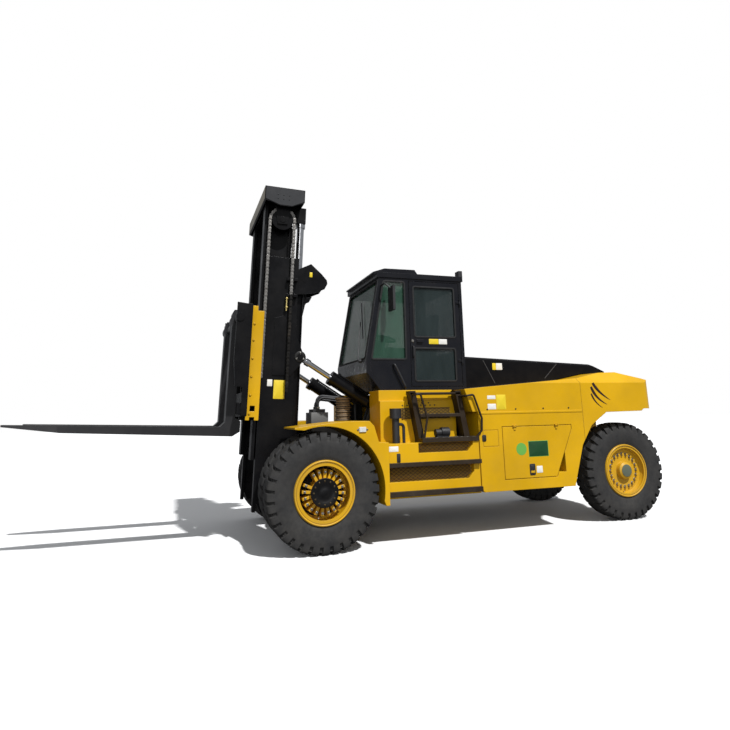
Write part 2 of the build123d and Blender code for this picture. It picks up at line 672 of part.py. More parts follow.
def side_tank():
    """Left side tank below the cab, stepped back above the walkway, with toe recesses."""
    tank = block(STEP_REAR, STEP_FRONT - SEATED, FRAME_Y + FRAME_WALL + SEATED, STEP_OUT, STEP_LOW_Z - 60,
                 STEP_HIGH_Z - 30)
    upper = block(STEP_REAR + 200, STEP_FRONT - 10, 760, TANK_FACE, STEP_HIGH_Z - 40, TANK_TOP)
    ledge = block(STEP_REAR + 220, STEP_FRONT - 10, 760, CAB_LEFT + 60, TANK_TOP - 10, CAB_FLOOR_Z - SEATED)
    tank = fused(tank, upper, ledge)
    # Low edge, high edge, front end
    for z_low, z_high, front in ((STEP_LOW_Z + 137, STEP_MID_Z - 30, STEP_FRONT - 30),
                                 (STEP_MID_Z + 131, STEP_HIGH_Z - 34, STEP_FRONT - 440)):
        tank = tank - toe_recess(STEP_REAR + 90, front, z_low, z_high)
    return tank


def fender_lamp():
    """Left side lamp on the fender: a low box with sloped edges."""
    base = Pos(LAMP_X, FENDER_OUT + SEATED, LAMP_Z) * Rot(-90, 0, 0)
    return extrude(base * Rectangle(96, 66), amount=16, taper=20)


def step_frame():
    """Left treads, stair stringers and the two grab rails, as one welded frame."""
    rails = []
    for x in STRINGER_XS:
        rails.append(side_plate((
            (x, CAB_FLOOR_Z - 20), (x - STRINGER_SLANT, STEP_HIGH_Z + 22),
            (x - STRINGER_SLANT - STRINGER_WIDTH, STEP_HIGH_Z + 22), (x - STRINGER_WIDTH, CAB_FLOOR_Z - 20),
        ), TANK_FACE + SEATED, TANK_FACE + 150))
    inner = TANK_FACE + SEATED
    outer = STEP_OUT + SEATED
    front = STEP_FRONT - 5
    walk = block(STEP_REAR, STRINGER_XS[0] - 110, inner, STEP_OUT + 20, STEP_HIGH_Z - 30 + SEATED,
                 STEP_HIGH_Z + 25)
    tread = block(STRINGER_XS[1] - 60, STRINGER_XS[0] - 60, inner, TANK_FACE + 150, TREAD_Z - 20,
                  TREAD_Z + 20)
    low = block(STEP_REAR, front, outer, STEP_OUT + 60, STEP_LOW_Z - 35, STEP_LOW_Z + 25)
    middle = block(STEP_REAR, front, outer, STEP_OUT + 60, STEP_MID_Z - 30, STEP_MID_Z + 20)
    frame = fused(walk, tread, *rails)
    front_rail = pipe((
        (-1250, TANK_FACE + 100, 1845), (-1250, STEP_OUT, 1845), (-1325, STEP_OUT, 1850),
        (-1410, STEP_OUT, 1540), (-1360, STEP_OUT - 10, STEP_HIGH_Z + 10),
    ), 30, RAIL_R)
    rear_rail = pipe((
        (-1920, TANK_FACE + 100, 1820), (-1990, STEP_OUT + 35, 1820), (-2090, STEP_OUT + 35, 1835),
        (-2200, STEP_OUT + 35, 1520), (-2190, STEP_OUT + 35, 1360), (-2115, STEP_OUT, STEP_HIGH_Z + 10),
    ), 30, RAIL_R)
    frame = fused(frame, front_rail, rear_rail)
    return frame, low, middle


def hydraulic_fittings():
    """Breather and pump on the left tank, and on the deck the valve block, accumulator and hoses."""
    breather = fused(
        bar((-1000, 1350, STEP_HIGH_Z - 30), (-1000, 1350, 1560), 48),
        bar((-1000, 1350, 1540), (-1000, 1350, 1670), 78),
        pipe(((-1000, 1350, 1465), (-1125, 1310, 1465), (-1125, 1310, STEP_HIGH_Z - 30)), 45, 20),
    )
    shelf = STEP_HIGH_Z + 25 + SEATED
    pump = fused(
        block(-1770, -1590, 1270, 1350, shelf, shelf + 20),
        bar((-1775, 1310, shelf + 66), (-1660, 1310, shelf + 66), 62),
        bar((-1670, 1310, shelf + 60), (-1580, 1310, shelf + 60), 48),
    )
    valve = fused(
        block(-330, -90, 60, 400, DECK_Z, 1640),
        block(-300, -120, 100, 360, 1630, 1690),
    )
    # Left of the valve, top of the arch, landing behind
    for y, top, landing in ((120, 1840, -640), (200, 1890, -700), (280, 1860, -760)):
        points = (-210, y, 1680), (-210, y, top), (landing, y + 40, top - 60), (landing, y + 40, DECK_Z)
        hose = pipe(points, 90, 19)
        valve = valve + hose
    # Radius, height
    ribs = [(0, DECK_Z), (112, DECK_Z)]
    for step in range(6):
        low = DECK_Z + 30 + 58 * step
        ribs += [(112, low), (98, low + 10), (98, low + 34), (112, low + 44)]
    ribs += [(112, 1835), (90, 1850), (0, 1850)]
    outline = make_face(Polyline(*[(-535 + radius, 470, height) for radius, height in ribs], close=True))
    accumulator = revolve(outline, Axis((-535, 470, 0), (0, 0, 1)), 360)
    return breather, pump, valve, accumulator


# Cab

def screen_x(z, back):
    """Depth of the windscreen's plane at a height, set back from its outer face."""
    share = (z - SCREEN_LOW_Z) / (CAB_ROOF_Z - SCREEN_LOW_Z)
    return SCREEN_LOW_X + share * (SCREEN_TOP_X - SCREEN_LOW_X) - back


def cab_side_outline(inset):
    """Side outline of the cab, drawn in from the front by the inset."""
    return [
        (CAB_REAR, CAB_FLOOR_Z), (CAB_SILL_X - inset, CAB_FLOOR_Z), (CAB_CHIN_X - inset, CAB_CHIN_Z),
        (SCREEN_LOW_X - inset, SCREEN_LOW_Z), (screen_x(CAB_ROOF_Z, inset), CAB_ROOF_Z),
        (CAB_REAR, CAB_ROOF_Z),
    ]


def front_window(y_low, y_high):
    """Side pane ahead of the door, between the front pillar and the door post."""
    low = SCREEN_LOW_Z + 30
    high = CAB_ROOF_Z - 50
    return side_plate((
        (screen_x(low, 75), low), (screen_x(high, 75), high), (DOOR_FRONT + 65, high), (DOOR_FRONT + 65, low),
    ), y_low, y_high)


def cab_left_frame():
    """Left cab side: lower panel, front pane opening and the doorway."""
    side = side_plate(cab_side_outline(CAB_WALL + SEATED), CAB_LEFT - CAB_WALL, CAB_LEFT)
    doorway = block(DOOR_REAR, DOOR_FRONT, CAB_LEFT - CAB_WALL - 5, CAB_LEFT + 5, DOOR_BOTTOM, DOOR_TOP)
    side = side - front_window(CAB_LEFT - CAB_WALL - 5, CAB_LEFT + 5) - doorway
    for z in DOOR_HINGE_ZS:
        for z_low in (z - 45, z + 20):
            side = fused(
                side,
                block(DOOR_REAR - 20, DOOR_REAR - 3, CAB_LEFT - 5, DOOR_PIN_Y + 12, z_low, z_low + 25),
                block(DOOR_REAR - 4, DOOR_REAR + 12, CAB_LEFT + 4, DOOR_PIN_Y + 12, z_low, z_low + 25),
            )
        side = side + bar((DOOR_REAR, DOOR_PIN_Y, z - 45), (DOOR_REAR, DOOR_PIN_Y, z + 45), DOOR_PIN_R)
    return side


def right_panes(y_low, y_high):
    """Openings of the right wall: the front pane and the big rear pane."""
    rear = block(DOOR_REAR + 60, DOOR_FRONT - 20, y_low, y_high, 2480, CAB_ROOF_Z - 60)
    return front_window(y_low, y_high), rear


def cab_right_wall():
    """Right cab side with two panes."""
    side = side_plate(cab_side_outline(CAB_WALL + SEATED), CAB_RIGHT, CAB_RIGHT + CAB_WALL)
    for pane in right_panes(CAB_RIGHT - 5, CAB_RIGHT + CAB_WALL + 5):
        side = side - pane
    return side


def screen_opening(front, back, edge):
    """Prism of the windscreen between two depths, in from the cab's sides by the edge."""
    low = SCREEN_LOW_Z + 45
    high = CAB_ROOF_Z - 45
    return side_plate((
        (screen_x(low, front), low), (screen_x(high, front), high), (screen_x(high, back), high),
        (screen_x(low, back), low),
    ), CAB_RIGHT + edge, CAB_LEFT - edge)


def cab_front_frame():
    """Cab front: the chin plate, the sill and the windscreen frame."""
    front = [(CAB_SILL_X, CAB_FLOOR_Z), (CAB_CHIN_X, CAB_CHIN_Z), (SCREEN_LOW_X, SCREEN_LOW_Z),
             (screen_x(CAB_ROOF_Z, 0), CAB_ROOF_Z)]
    back = [(x - CAB_WALL, z) for x, z in reversed(front)]
    frame = side_plate(front + back, CAB_RIGHT, CAB_LEFT)
    return frame - screen_opening(-10, CAB_WALL + 10, 70)


def rear_opening(x_low, x_high):
    """Prism of the rear window."""
    return block(x_low, x_high, CAB_RIGHT + 110, CAB_LEFT - 110, 2480, CAB_ROOF_Z - 70)


def cab_rear_wall():
    """Cab back with its window."""
    wall = block(CAB_REAR, CAB_REAR + 50, CAB_RIGHT + CAB_WALL + SEATED, CAB_LEFT - CAB_WALL - SEATED,
                 CAB_FLOOR_Z + 60.3, CAB_ROOF_Z)
    return wall - rear_opening(CAB_REAR - 5, CAB_REAR + 60)


def cab_floor():
    """Cab floor plate between the side panels."""
    edge = CAB_WALL + SEATED
    return block(CAB_REAR, CAB_SILL_X - edge, CAB_RIGHT + edge, CAB_LEFT - edge, CAB_FLOOR_Z, CAB_DECK)


def roof_opening(z_low, z_high):
    """Prism of the roof window over the driver."""
    return block(-1650, -1050, CAB_RIGHT + 180, CAB_LEFT - 180, z_low, z_high)


def cab_roof():
    """Roof panel with its raised visor and the roof window."""
    top = CAB_ROOF_Z + CAB_ROOF_WALL
    roof = block(CAB_REAR - 20, SCREEN_TOP_X + 30, CAB_RIGHT - 15, CAB_LEFT + 15, CAB_ROOF_Z + SEATED, top)
    visor = side_plate((
        (-820, top - 12), (-835, top + 15), (-1010, top + 75), (-1480, top + 80), (-1540, top - 5),
        (-900, top - 12),
    ), CAB_RIGHT + 60, CAB_LEFT - 60)
    return roof + visor - roof_opening(CAB_ROOF_Z - 5, top + 200)


def cab_glass():
    """Fixed panes of the cab, each as thick as the glass, seated in its frame."""
    left = front_window(CAB_LEFT - 40, CAB_LEFT - 40 + GLASS_WALL)
    right = right_panes(CAB_RIGHT + 28, CAB_RIGHT + 28 + GLASS_WALL)
    screen = screen_opening(20, 20 + GLASS_WALL, 70)
    rear = rear_opening(CAB_REAR + 20, CAB_REAR + 20 + GLASS_WALL)
    roof = roof_opening(CAB_ROOF_Z + 30, CAB_ROOF_Z + 30 + GLASS_WALL)
    return left, *right, screen, rear, roof


def door_panes(y_low, y_high):
    """Openings of the door: the tall upper pane and the low one."""
    upper = block(DOOR_REAR + 85, DOOR_FRONT - 70, y_low, y_high, 2660, 3390)
    lower = block(DOOR_REAR + 100, DOOR_FRONT - 65, y_low, y_high, 2040, 2500)
    return upper, lower


def cab_door():
    """Door leaf in its doorway with the two panes cut, the handle and the hinge barrels."""
    door = block(DOOR_REAR + DOOR_GAP, DOOR_FRONT - DOOR_GAP, CAB_LEFT - DOOR_WALL, CAB_LEFT,
                 DOOR_BOTTOM + DOOR_GAP, DOOR_TOP - DOOR_GAP)
    for pane in door_panes(CAB_LEFT - DOOR_WALL - 5, CAB_LEFT + 5):
        door = door - pane
    handle = block(-1540, -1450, CAB_LEFT - 2, CAB_LEFT + 30, 2580, 2620)
    door = door + handle
    for z in DOOR_HINGE_ZS:
        leaf = block(DOOR_REAR + 9, DOOR_REAR + 60, CAB_LEFT - 1, DOOR_PIN_Y, z - 17, z + 17)
        ring = bar((DOOR_REAR, DOOR_PIN_Y, z - 17), (DOOR_REAR, DOOR_PIN_Y, z + 17), DOOR_PIN_R + 4)
        bore = bar((DOOR_REAR, DOOR_PIN_Y, z - 30), (DOOR_REAR, DOOR_PIN_Y, z + 30), DOOR_PIN_R + RUNNING_FIT)
        door = door + leaf + ring - bore
    return door


def door_glass():
    """Panes of the door."""
    return door_panes(CAB_LEFT - 30, CAB_LEFT - 30 + GLASS_WALL)


def seat():
    """Driver's seat: pedestal, cushion and back rest."""
    pedestal = block(SEAT_X - 190, SEAT_X + 190, SEAT_Y - 190, SEAT_Y + 190, CAB_DECK, CAB_DECK + 330)
    cushion = block(SEAT_X - 240, SEAT_X + 270, SEAT_Y - 255, SEAT_Y + 255, CAB_DECK + 320, CAB_DECK + 440)
    back = side_plate((
        (SEAT_X - 250, CAB_DECK + 380), (SEAT_X - 130, CAB_DECK + 380), (SEAT_X - 230, CAB_DECK + 1100),
        (SEAT_X - 330, CAB_DECK + 1100),
    ), SEAT_Y - 240, SEAT_Y + 240)
    return fused(pedestal, cushion, back)


def driver_controls():
    """Steering column with its wheel, the dashboard and the side console."""
    column = bar((-1048, SEAT_Y, CAB_DECK + 40), (-1190, SEAT_Y, CAB_DECK + 700), 55)
    foot = block(-1120, -970, SEAT_Y - 80, SEAT_Y + 80, CAB_DECK, CAB_DECK + 60)
    wheel_centre = Vector(-1200, SEAT_Y, CAB_DECK + 745)
    tilt = Plane(origin=wheel_centre, z_dir=(-0.21, 0, 0.98))
    wheel = tilt * (Torus(190, 16) + Cylinder(60, 40) + Box(370, 30, 12))
    column = fused(foot, column, wheel, bar((-1185, SEAT_Y, CAB_DECK + 680), tuple(wheel_centre), 40))
    console = block(-1950, -1350, CAB_RIGHT + CAB_WALL + 40, SEAT_Y - 300, CAB_DECK, CAB_DECK + 640)
    return column, console


def cab_fittings():
    """Mirror arms with their mirrors, and the work lamps on the roof."""
    mirror_arm = pipe(((-930, CAB_LEFT + SEATED, 3380), (-930, CAB_LEFT + 160, 3380),
                       (-1010, CAB_LEFT + 190, 3300), (-1010, CAB_LEFT + 190, 3050)), 40, 12)
    mirror_left = fused(mirror_arm, block(-1035, -1000, CAB_LEFT + 90, CAB_LEFT + 290, 2990, 3330))
    lamps = []
    for y in (CAB_RIGHT + 180, CAB_LEFT - 180):
        lamps.append(block(CAB_REAR - 90, CAB_REAR - 30, y - 60, y + 60, 3590, 3700))
        lamps.append(block(CAB_REAR - 60, CAB_REAR + 20, y - 15, y + 15, CAB_ROOF_Z + CAB_ROOF_WALL, 3620))
    return mirror_left, fused(lamps[0], lamps[1]), fused(lamps[2], lamps[3])


# Mast group, upright until leaned

def outer_rail():
    """Left outer rail: a channel open inwards, with the foot round the mast pin."""
    web = block(OUTER_RAIL_REAR, OUTER_RAIL_FRONT, OUTER_RAIL_Y - RAIL_WALL, OUTER_RAIL_Y,
                OUTER_RAIL_BOTTOM + 100, OUTER_RAIL_TOP)
    front = block(OUTER_RAIL_FRONT - FLANGE_WALL, OUTER_RAIL_FRONT, OUTER_FLANGE_IN, OUTER_RAIL_Y,
                  OUTER_RAIL_BOTTOM, OUTER_RAIL_TOP)
    rear = block(OUTER_FLANGE_REAR, OUTER_FLANGE_REAR + 50, OUTER_FLANGE_IN, OUTER_RAIL_Y,
                 OUTER_RAIL_BOTTOM + 300, OUTER_RAIL_TOP)
    foot = side_plate((
        (MAST_PIN_X - 60, MAST_PIN_Z + 70), (OUTER_FLANGE_REAR + 50, OUTER_RAIL_BOTTOM + 320),
        (OUTER_RAIL_FRONT - FLANGE_WALL - 10, OUTER_RAIL_BOTTOM + 320),
        (OUTER_RAIL_FRONT - FLANGE_WALL - 10, OUTER_RAIL_BOTTOM + 100),
        (OUTER_RAIL_FRONT - 100, OUTER_RAIL_BOTTOM), (MAST_PIN_X, OUTER_RAIL_BOTTOM + 25),
    ), OUTER_RAIL_Y - RAIL_WALL, OUTER_RAIL_Y)
    heel = pin(MAST_PIN_X, MAST_PIN_Z, OUTER_RAIL_Y - 110, OUTER_RAIL_Y, MAST_FOOT_R)
    gusset = side_plate((
        (OUTER_RAIL_FRONT - 160, TILT_MAST_Z + 520), (OUTER_RAIL_FRONT - 280, TILT_MAST_Z + 560),
        (330, TILT_MAST_Z + 420), (TILT_MAST_X - 30, TILT_MAST_Z + 75), (TILT_MAST_X - 85, TILT_MAST_Z),
        (TILT_MAST_X - 30, TILT_MAST_Z - 80), (330, TILT_MAST_Z - 260),
        (OUTER_RAIL_FRONT - 160, TILT_MAST_Z - 260),
    ), OUTER_RAIL_Y, OUTER_RAIL_Y + 15)
    inner_ear = side_plate((
        (OUTER_FLANGE_REAR, TILT_MAST_Z + 130), (TILT_MAST_X - 20, TILT_MAST_Z + 70),
        (TILT_MAST_X - 70, TILT_MAST_Z), (TILT_MAST_X - 20, TILT_MAST_Z - 70),
        (OUTER_FLANGE_REAR, TILT_MAST_Z - 130),
    ), OUTER_FLANGE_IN - 9, OUTER_FLANGE_IN + 14)
    ear_root = block(OUTER_FLANGE_REAR - 40, OUTER_FLANGE_REAR, OUTER_FLANGE_IN - 9, OUTER_FLANGE_IN + 14,
                     TILT_MAST_Z - 120, TILT_MAST_Z + 120)
    eye_pin = pin(TILT_MAST_X, TILT_MAST_Z, OUTER_FLANGE_IN - 9, OUTER_RAIL_Y + 30, TILT_PIN_R)
    rail = fused(web, front, rear, foot, heel, gusset, inner_ear, ear_root, eye_pin)
    return rail - pin(MAST_PIN_X, MAST_PIN_Z, OUTER_RAIL_Y - 200, OUTER_RAIL_Y + 50, MAST_PIN_R + RUNNING_FIT)


def chain_bracket():
    """Left anchor bracket of the lift chain, two lugs beside the chain on the outer rail."""
    rear_run = SHEAVE_X - CHAIN_LINE_R
    lugs = []
    for x_low, x_high in ((OUTER_RAIL_REAR + 20, rear_run - CHAIN_DEPTH / 2 - MOVING_GAP),
                          (rear_run + CHAIN_DEPTH / 2 + MOVING_GAP, rear_run + 66)):
        for z_low in (CHAIN_ANCHOR_Z - 40, CHAIN_ANCHOR_Z + 190):
            lugs.append(block(x_low, x_high, OUTER_RAIL_Y, CHAIN_Y + CHAIN_WIDTH / 2, z_low, z_low + 40))
    return lugs


def outer_mast():
    """Outer mast stage: two rails joined by three cross ties behind."""
    left = fused(outer_rail(), *chain_bracket())
    mast = left + other_side(left)
    # Low edge, high edge
    for z_low, z_high in ((720, 940), (1950, 2200), (OUTER_RAIL_TOP - 260, OUTER_RAIL_TOP)):
        mast = mast + block(OUTER_FLANGE_REAR, OUTER_FLANGE_REAR + TIE_WALL, -OUTER_FLANGE_IN,
                            OUTER_FLANGE_IN, z_low, z_high)
    for _, side in SIDES:
        y = side * LIFT_Y
        seat_plate = block(LIFT_X - 80, OUTER_FLANGE_REAR, y - 80, y + 80, LIFT_BARREL_BOTTOM - 60,
                           LIFT_BARREL_BOTTOM)
        web = block(OUTER_FLANGE_REAR - 1, OUTER_FLANGE_REAR + TIE_WALL, y - 80, y + 80, 930,
                    LIFT_BARREL_BOTTOM)
        mast = mast + seat_plate + web
    return mast


def lift_barrels():
    """Lift cylinder tubes behind the outer mast, open at the gland for the rods."""
    barrels = []
    for _, side in SIDES:
        y = side * LIFT_Y
        tube = bar((LIFT_X, y, LIFT_BARREL_BOTTOM), (LIFT_X, y, LIFT_BARREL_TOP), LIFT_BARREL_R)
        bore = bar((LIFT_X, y, LIFT_BARREL_BOTTOM + 30), (LIFT_X, y, LIFT_BARREL_TOP - 120), LIFT_ROD_R + 12)
        gland = bar((LIFT_X, y, LIFT_BARREL_TOP - 130), (LIFT_X, y, LIFT_BARREL_TOP + 10),
                    LIFT_ROD_R + RUNNING_FIT)
        barrels.append(tube - bore - gland)
    return barrels


def lift_rods():
    """Chromed rods of the lift cylinders, with their heads under the top beam."""
    rods = []
    for _, side in SIDES:
        y = side * LIFT_Y
        rod = bar((LIFT_X, y, LIFT_ROD_BOTTOM), (LIFT_X, y, LIFT_ROD_TOP), LIFT_ROD_R)
        head = bar((LIFT_X, y, LIFT_ROD_TOP - 60), (LIFT_X, y, LIFT_ROD_TOP), LIFT_ROD_R + 16)
        rods.append(rod + head)
    return rods


def hose_guard():
    """Left guard of the hose pulley behind the outer mast: two rounded plates and the pulley."""
    outline = (
        (OUTER_RAIL_REAR, OUTER_RAIL_TOP - 150), (100, OUTER_RAIL_TOP - 55), (-60, OUTER_RAIL_TOP - 190),
        (-140, OUTER_RAIL_TOP - 275), (-150, OUTER_RAIL_TOP - 330), (-110, OUTER_RAIL_TOP - 410),
        (40, OUTER_RAIL_TOP - 480), (OUTER_RAIL_REAR, OUTER_RAIL_TOP - 520),
    )
    outer = side_plate(outline, OUTER_RAIL_Y - RAIL_WALL, OUTER_RAIL_Y - RAIL_WALL + 15)
    inner = side_plate(outline, 345, 360)
    drum = pin(-10, OUTER_RAIL_TOP - 300, 355, OUTER_RAIL_Y - RAIL_WALL + 5, 90)
    top = OUTER_RAIL_TOP - 160
    strap = block(OUTER_RAIL_REAR - 1, OUTER_FLANGE_REAR, 345, 360, top - 100, top)
    return fused(outer, inner, drum, strap)


def inner_rail():
    """Left inner rail: web with flanges both ways, its front flange ahead of the outer rail."""
    web = block(INNER_RAIL_REAR, INNER_RAIL_FRONT, INNER_RAIL_Y - RAIL_WALL, INNER_RAIL_Y,
                INNER_RAIL_BOTTOM, INNER_RAIL_TOP)
    front = block(INNER_RAIL_FRONT - FLANGE_WALL, INNER_RAIL_FRONT, INNER_FLANGE_IN, INNER_FLANGE_OUT,
                  INNER_RAIL_BOTTOM, INNER_RAIL_TOP)
    rear = block(INNER_RAIL_REAR, INNER_RAIL_REAR + FLANGE_WALL, INNER_FLANGE_IN,
                 OUTER_RAIL_Y - RAIL_WALL - 10, INNER_RAIL_BOTTOM, INNER_RAIL_TOP)
    return fused(web, front, rear)


def top_beam():
    """Hood-shaped beam across the top of the inner mast, over the chain sheaves."""
    belly = BEAM_TOP - BEAM_BELLY_DROP
    outline = ((BEAM_FRONT, BEAM_TOP - BEAM_NOSE_DROP), (BEAM_FRONT, BEAM_TOP), (BEAM_REAR, BEAM_TOP),
               (BEAM_REAR, BEAM_TOP - 185), (460, belly), (620, belly))
    beam = side_plate(outline, -BEAM_HALF, BEAM_HALF)
    half = BEAM_HALF - BEAM_WALL
    hollow = block(BEAM_REAR + BEAM_WALL, BEAM_FRONT - BEAM_WALL, -half, half, BEAM_TOP - 770,
                   BEAM_TOP - BEAM_WALL)
    beam = beam - hollow
    spine = block(BEAM_REAR + 60, BEAM_FRONT - 60, -640, 640, INNER_RAIL_TOP - 1, BEAM_TOP - BEAM_WALL + 1)
    return beam + spine


def sheave_mount():
    """Left chain sheave between two hanger plates of the top beam, and the rod's seat behind it."""
    plates = []
    clear = CHAIN_WIDTH / 2 + MOVING_GAP
    for y_low in (CHAIN_Y - clear - HANGER_WALL, CHAIN_Y + clear):
        plates.append(side_plate((
            (SHEAVE_X - 150, BEAM_TOP - BEAM_WALL), (SHEAVE_X + 150, BEAM_TOP - BEAM_WALL),
            (SHEAVE_X + 70, SHEAVE_Z - 70), (SHEAVE_X - 70, SHEAVE_Z - 70),
        ), y_low, y_low + HANGER_WALL))
    reach = clear + HANGER_WALL
    stub = pin(SHEAVE_X, SHEAVE_Z, CHAIN_Y - reach, CHAIN_Y + reach + 6, 45)
    sheave = pin(SHEAVE_X, SHEAVE_Z, CHAIN_Y - CHAIN_WIDTH / 2, CHAIN_Y + CHAIN_WIDTH / 2, SHEAVE_R - SEATED)
    top = INNER_RAIL_TOP + 40
    post = block(LIFT_X - 60, OUTER_FLANGE_REAR - 12, LIFT_Y - 75, LIFT_Y + 75, LIFT_ROD_TOP + SEATED, top)
    arm = block(LIFT_X - 60, BEAM_REAR + 180, LIFT_Y - 75, LIFT_Y + 75, top - 140, top)
    return fused(*plates, stub, sheave), fused(post, arm)


def inner_mast():
    """Inner mast stage: two rails, the top beam with its sheaves and two rear ties."""
    left = fused(top_beam(), inner_rail(), *sheave_mount())
    mast = fused(left, other_side(inner_rail()), *[other_side(piece) for piece in sheave_mount()])
    for z_low, z_high in ((INNER_RAIL_BOTTOM + 60, INNER_RAIL_BOTTOM + 260), (3900, 4150)):
        mast = mast + block(INNER_RAIL_REAR, INNER_RAIL_REAR + TIE_WALL, -INNER_FLANGE_IN, INNER_FLANGE_IN,
                            z_low, z_high)
    return mast


def lift_chain():
    """Left lift chain as one band: both runs and the half turn over the sheave."""
    y_low = CHAIN_Y - CHAIN_WIDTH / 2
    y_high = CHAIN_Y + CHAIN_WIDTH / 2
    half = CHAIN_DEPTH / 2
    turn = pin(SHEAVE_X, SHEAVE_Z, y_low, y_high, CHAIN_LINE_R + half)
    turn = turn - pin(SHEAVE_X, SHEAVE_Z, y_low - 5, y_high + 5, CHAIN_LINE_R - half)
    turn = turn - block(SHEAVE_X - 400, SHEAVE_X + 400, y_low - 5, y_high + 5, SHEAVE_Z - 400, SHEAVE_Z)
    front_run = SHEAVE_X + CHAIN_LINE_R
    rear_run = SHEAVE_X - CHAIN_LINE_R
    front = block(front_run - half, front_run + half, y_low, y_high, CARRIAGE_LUG_Z - LOWERING, SHEAVE_Z)
    rear = block(rear_run - half, rear_run + half, y_low, y_high, CHAIN_ANCHOR_Z - RAISING, SHEAVE_Z)
    return fused(turn, front, rear)


def carriage():
    """Fork carriage: two cross plates, cheeks, roller bars with rollers and the fork shaft."""
    plate_front = CARRIAGE_PLATE_REAR + CARRIAGE_PLATE_WALL
    half = CARRIAGE_HALF - CHEEK_WALL
    upper = block(CARRIAGE_PLATE_REAR, plate_front, -half, half, 2560, 2940)
    lower = block(CARRIAGE_PLATE_REAR, plate_front, -half, half, 1590, 1900)
    body = None
    for _, side in SIDES:
        cheek = side_plate((
            (CARRIAGE_PLATE_REAR, 3040), (1120, 3060), (1120, 2300), (1085, 1960), (990, 1960),
            (CARRIAGE_PLATE_REAR, 2080),
        ), half, CARRIAGE_HALF)
        low_strut = side_plate((
            (CARRIAGE_PLATE_REAR, 2080), (990, 2080), (990, 1600), (CARRIAGE_PLATE_REAR, 1600),
        ), half, CARRIAGE_HALF)
        bar_plate = side_plate((
            (500, CARRIAGE_BOTTOM + 60), (500, CARRIAGE_TOP - 60), (560, CARRIAGE_TOP),
            (plate_front - 10, CARRIAGE_TOP), (plate_front - 10, CARRIAGE_BOTTOM), (560, CARRIAGE_BOTTOM),
        ), ROLLER_BAR_Y - ROLLER_BAR_WALL, ROLLER_BAR_Y)
        gap = INNER_RAIL_FRONT - FLANGE_WALL - INNER_RAIL_REAR - FLANGE_WALL
        roller_x = (INNER_RAIL_FRONT + INNER_RAIL_REAR) / 2
        rollers = [pin(roller_x, z, ROLLER_BAR_Y - 5, INNER_RAIL_Y - RAIL_WALL - MOVING_GAP,
                       gap / 2 - SEATED) for z in (1760, 2860)]
        lug = block(SHEAVE_X + CHAIN_LINE_R + CHAIN_DEPTH / 2 + MOVING_GAP, CARRIAGE_PLATE_REAR + 1,
                    CHAIN_Y - 20, SIDE_PLATE_Y - SEATED, CARRIAGE_LUG_Z - 120, CARRIAGE_LUG_Z)
        pad = block(plate_front - 1, FORK_FACE - FORK_SHANK - SEATED, 40, half, 1610, 1760)
        left = fused(cheek, low_strut, bar_plate, *rollers, lug, pad)
        left = left if side > 0 else other_side(left)
        body = left if body is None else body + left
    shaft = pin(SHAFT_X, SHAFT_Z, -CARRIAGE_HALF - 15, CARRIAGE_HALF + 15, SHAFT_R)
    return fused(upper, lower, body, shaft)


def carriage_side_plate():
    """Left side plate of the carriage with its stepped top, square hole and bottom notch."""
    front = CARRIAGE_PLATE_REAR - SEATED
    plate = side_plate((
        (SIDE_PLATE_REAR, CARRIAGE_BOTTOM), (SIDE_PLATE_REAR, 2985), (SIDE_PLATE_REAR + 85, 2985),
        (SIDE_PLATE_REAR + 85, CARRIAGE_TOP), (SIDE_PLATE_REAR + 160, CARRIAGE_TOP),
        (SIDE_PLATE_REAR + 160, 2870), (front, 2830), (front, CARRIAGE_BOTTOM),
    ), SIDE_PLATE_Y, SIDE_PLATE_Y + SIDE_PLATE_WALL)
    hole = block(SIDE_PLATE_REAR + 55, SIDE_PLATE_REAR + 120, 0, 1000, 1655, 1725)
    notch = block(SIDE_PLATE_REAR + 55, SIDE_PLATE_REAR + 120, 0, 1000, 1500, CARRIAGE_BOTTOM + 40)
    return plate - hole - notch


def fork():
    """Left fork: shank with its eye on the shaft, chamfered heel and tapered blade."""
    back = FORK_FACE - FORK_SHANK
    under = FORK_BLADE_Z - FORK_BLADE_WALL
    y_low = FORK_Y - FORK_WIDTH / 2
    y_high = FORK_Y + FORK_WIDTH / 2
    outline = (
        (back, FORK_TOP), (FORK_FACE - 20, FORK_TOP), (FORK_FACE, FORK_TOP - 40),
        (FORK_FACE, FORK_BLADE_Z + 60),
        (FORK_FACE + 60, FORK_BLADE_Z), (FORK_TIP, FORK_BLADE_Z), (FORK_TIP, FORK_BLADE_Z - FORK_TIP_WALL),
        (FORK_TIP - 650, FORK_BLADE_Z - 88), (back + 20, under), (back - 75, under + 60), (back - 75, 1530),
        (back, 1570),
    )
    blank = side_plate(outline, y_low, y_high)
    taper = FORK_TIP - 600
    plan = plan_plate((
        (back - 100, y_low), (taper, y_low), (FORK_TIP, FORK_Y - FORK_TIP_WIDTH / 2),
        (FORK_TIP, FORK_Y + FORK_TIP_WIDTH / 2), (taper, y_high), (back - 100, y_high),
    ), 1200, 3200)
    shape = blank & plan
    eye = pin(SHAFT_X, SHAFT_Z, y_low, y_high, SHAFT_R + 42)
    bore = pin(SHAFT_X, SHAFT_Z, y_low - 5, y_high + 5, SHAFT_R + RUNNING_FIT)
    return shape + eye - bore


# Tilt cylinders, drawn along their own line from the base pin to the mast pin

def leaned_point(x, z):
    """Where a point of the upright mast stands once the mast leans back."""
    ahead = x - MAST_PIN_X
    height = z - MAST_PIN_Z
    return (MAST_PIN_X + ahead * math.cos(LEAN) - height * math.sin(LEAN),
            MAST_PIN_Z + height * math.cos(LEAN) + ahead * math.sin(LEAN))


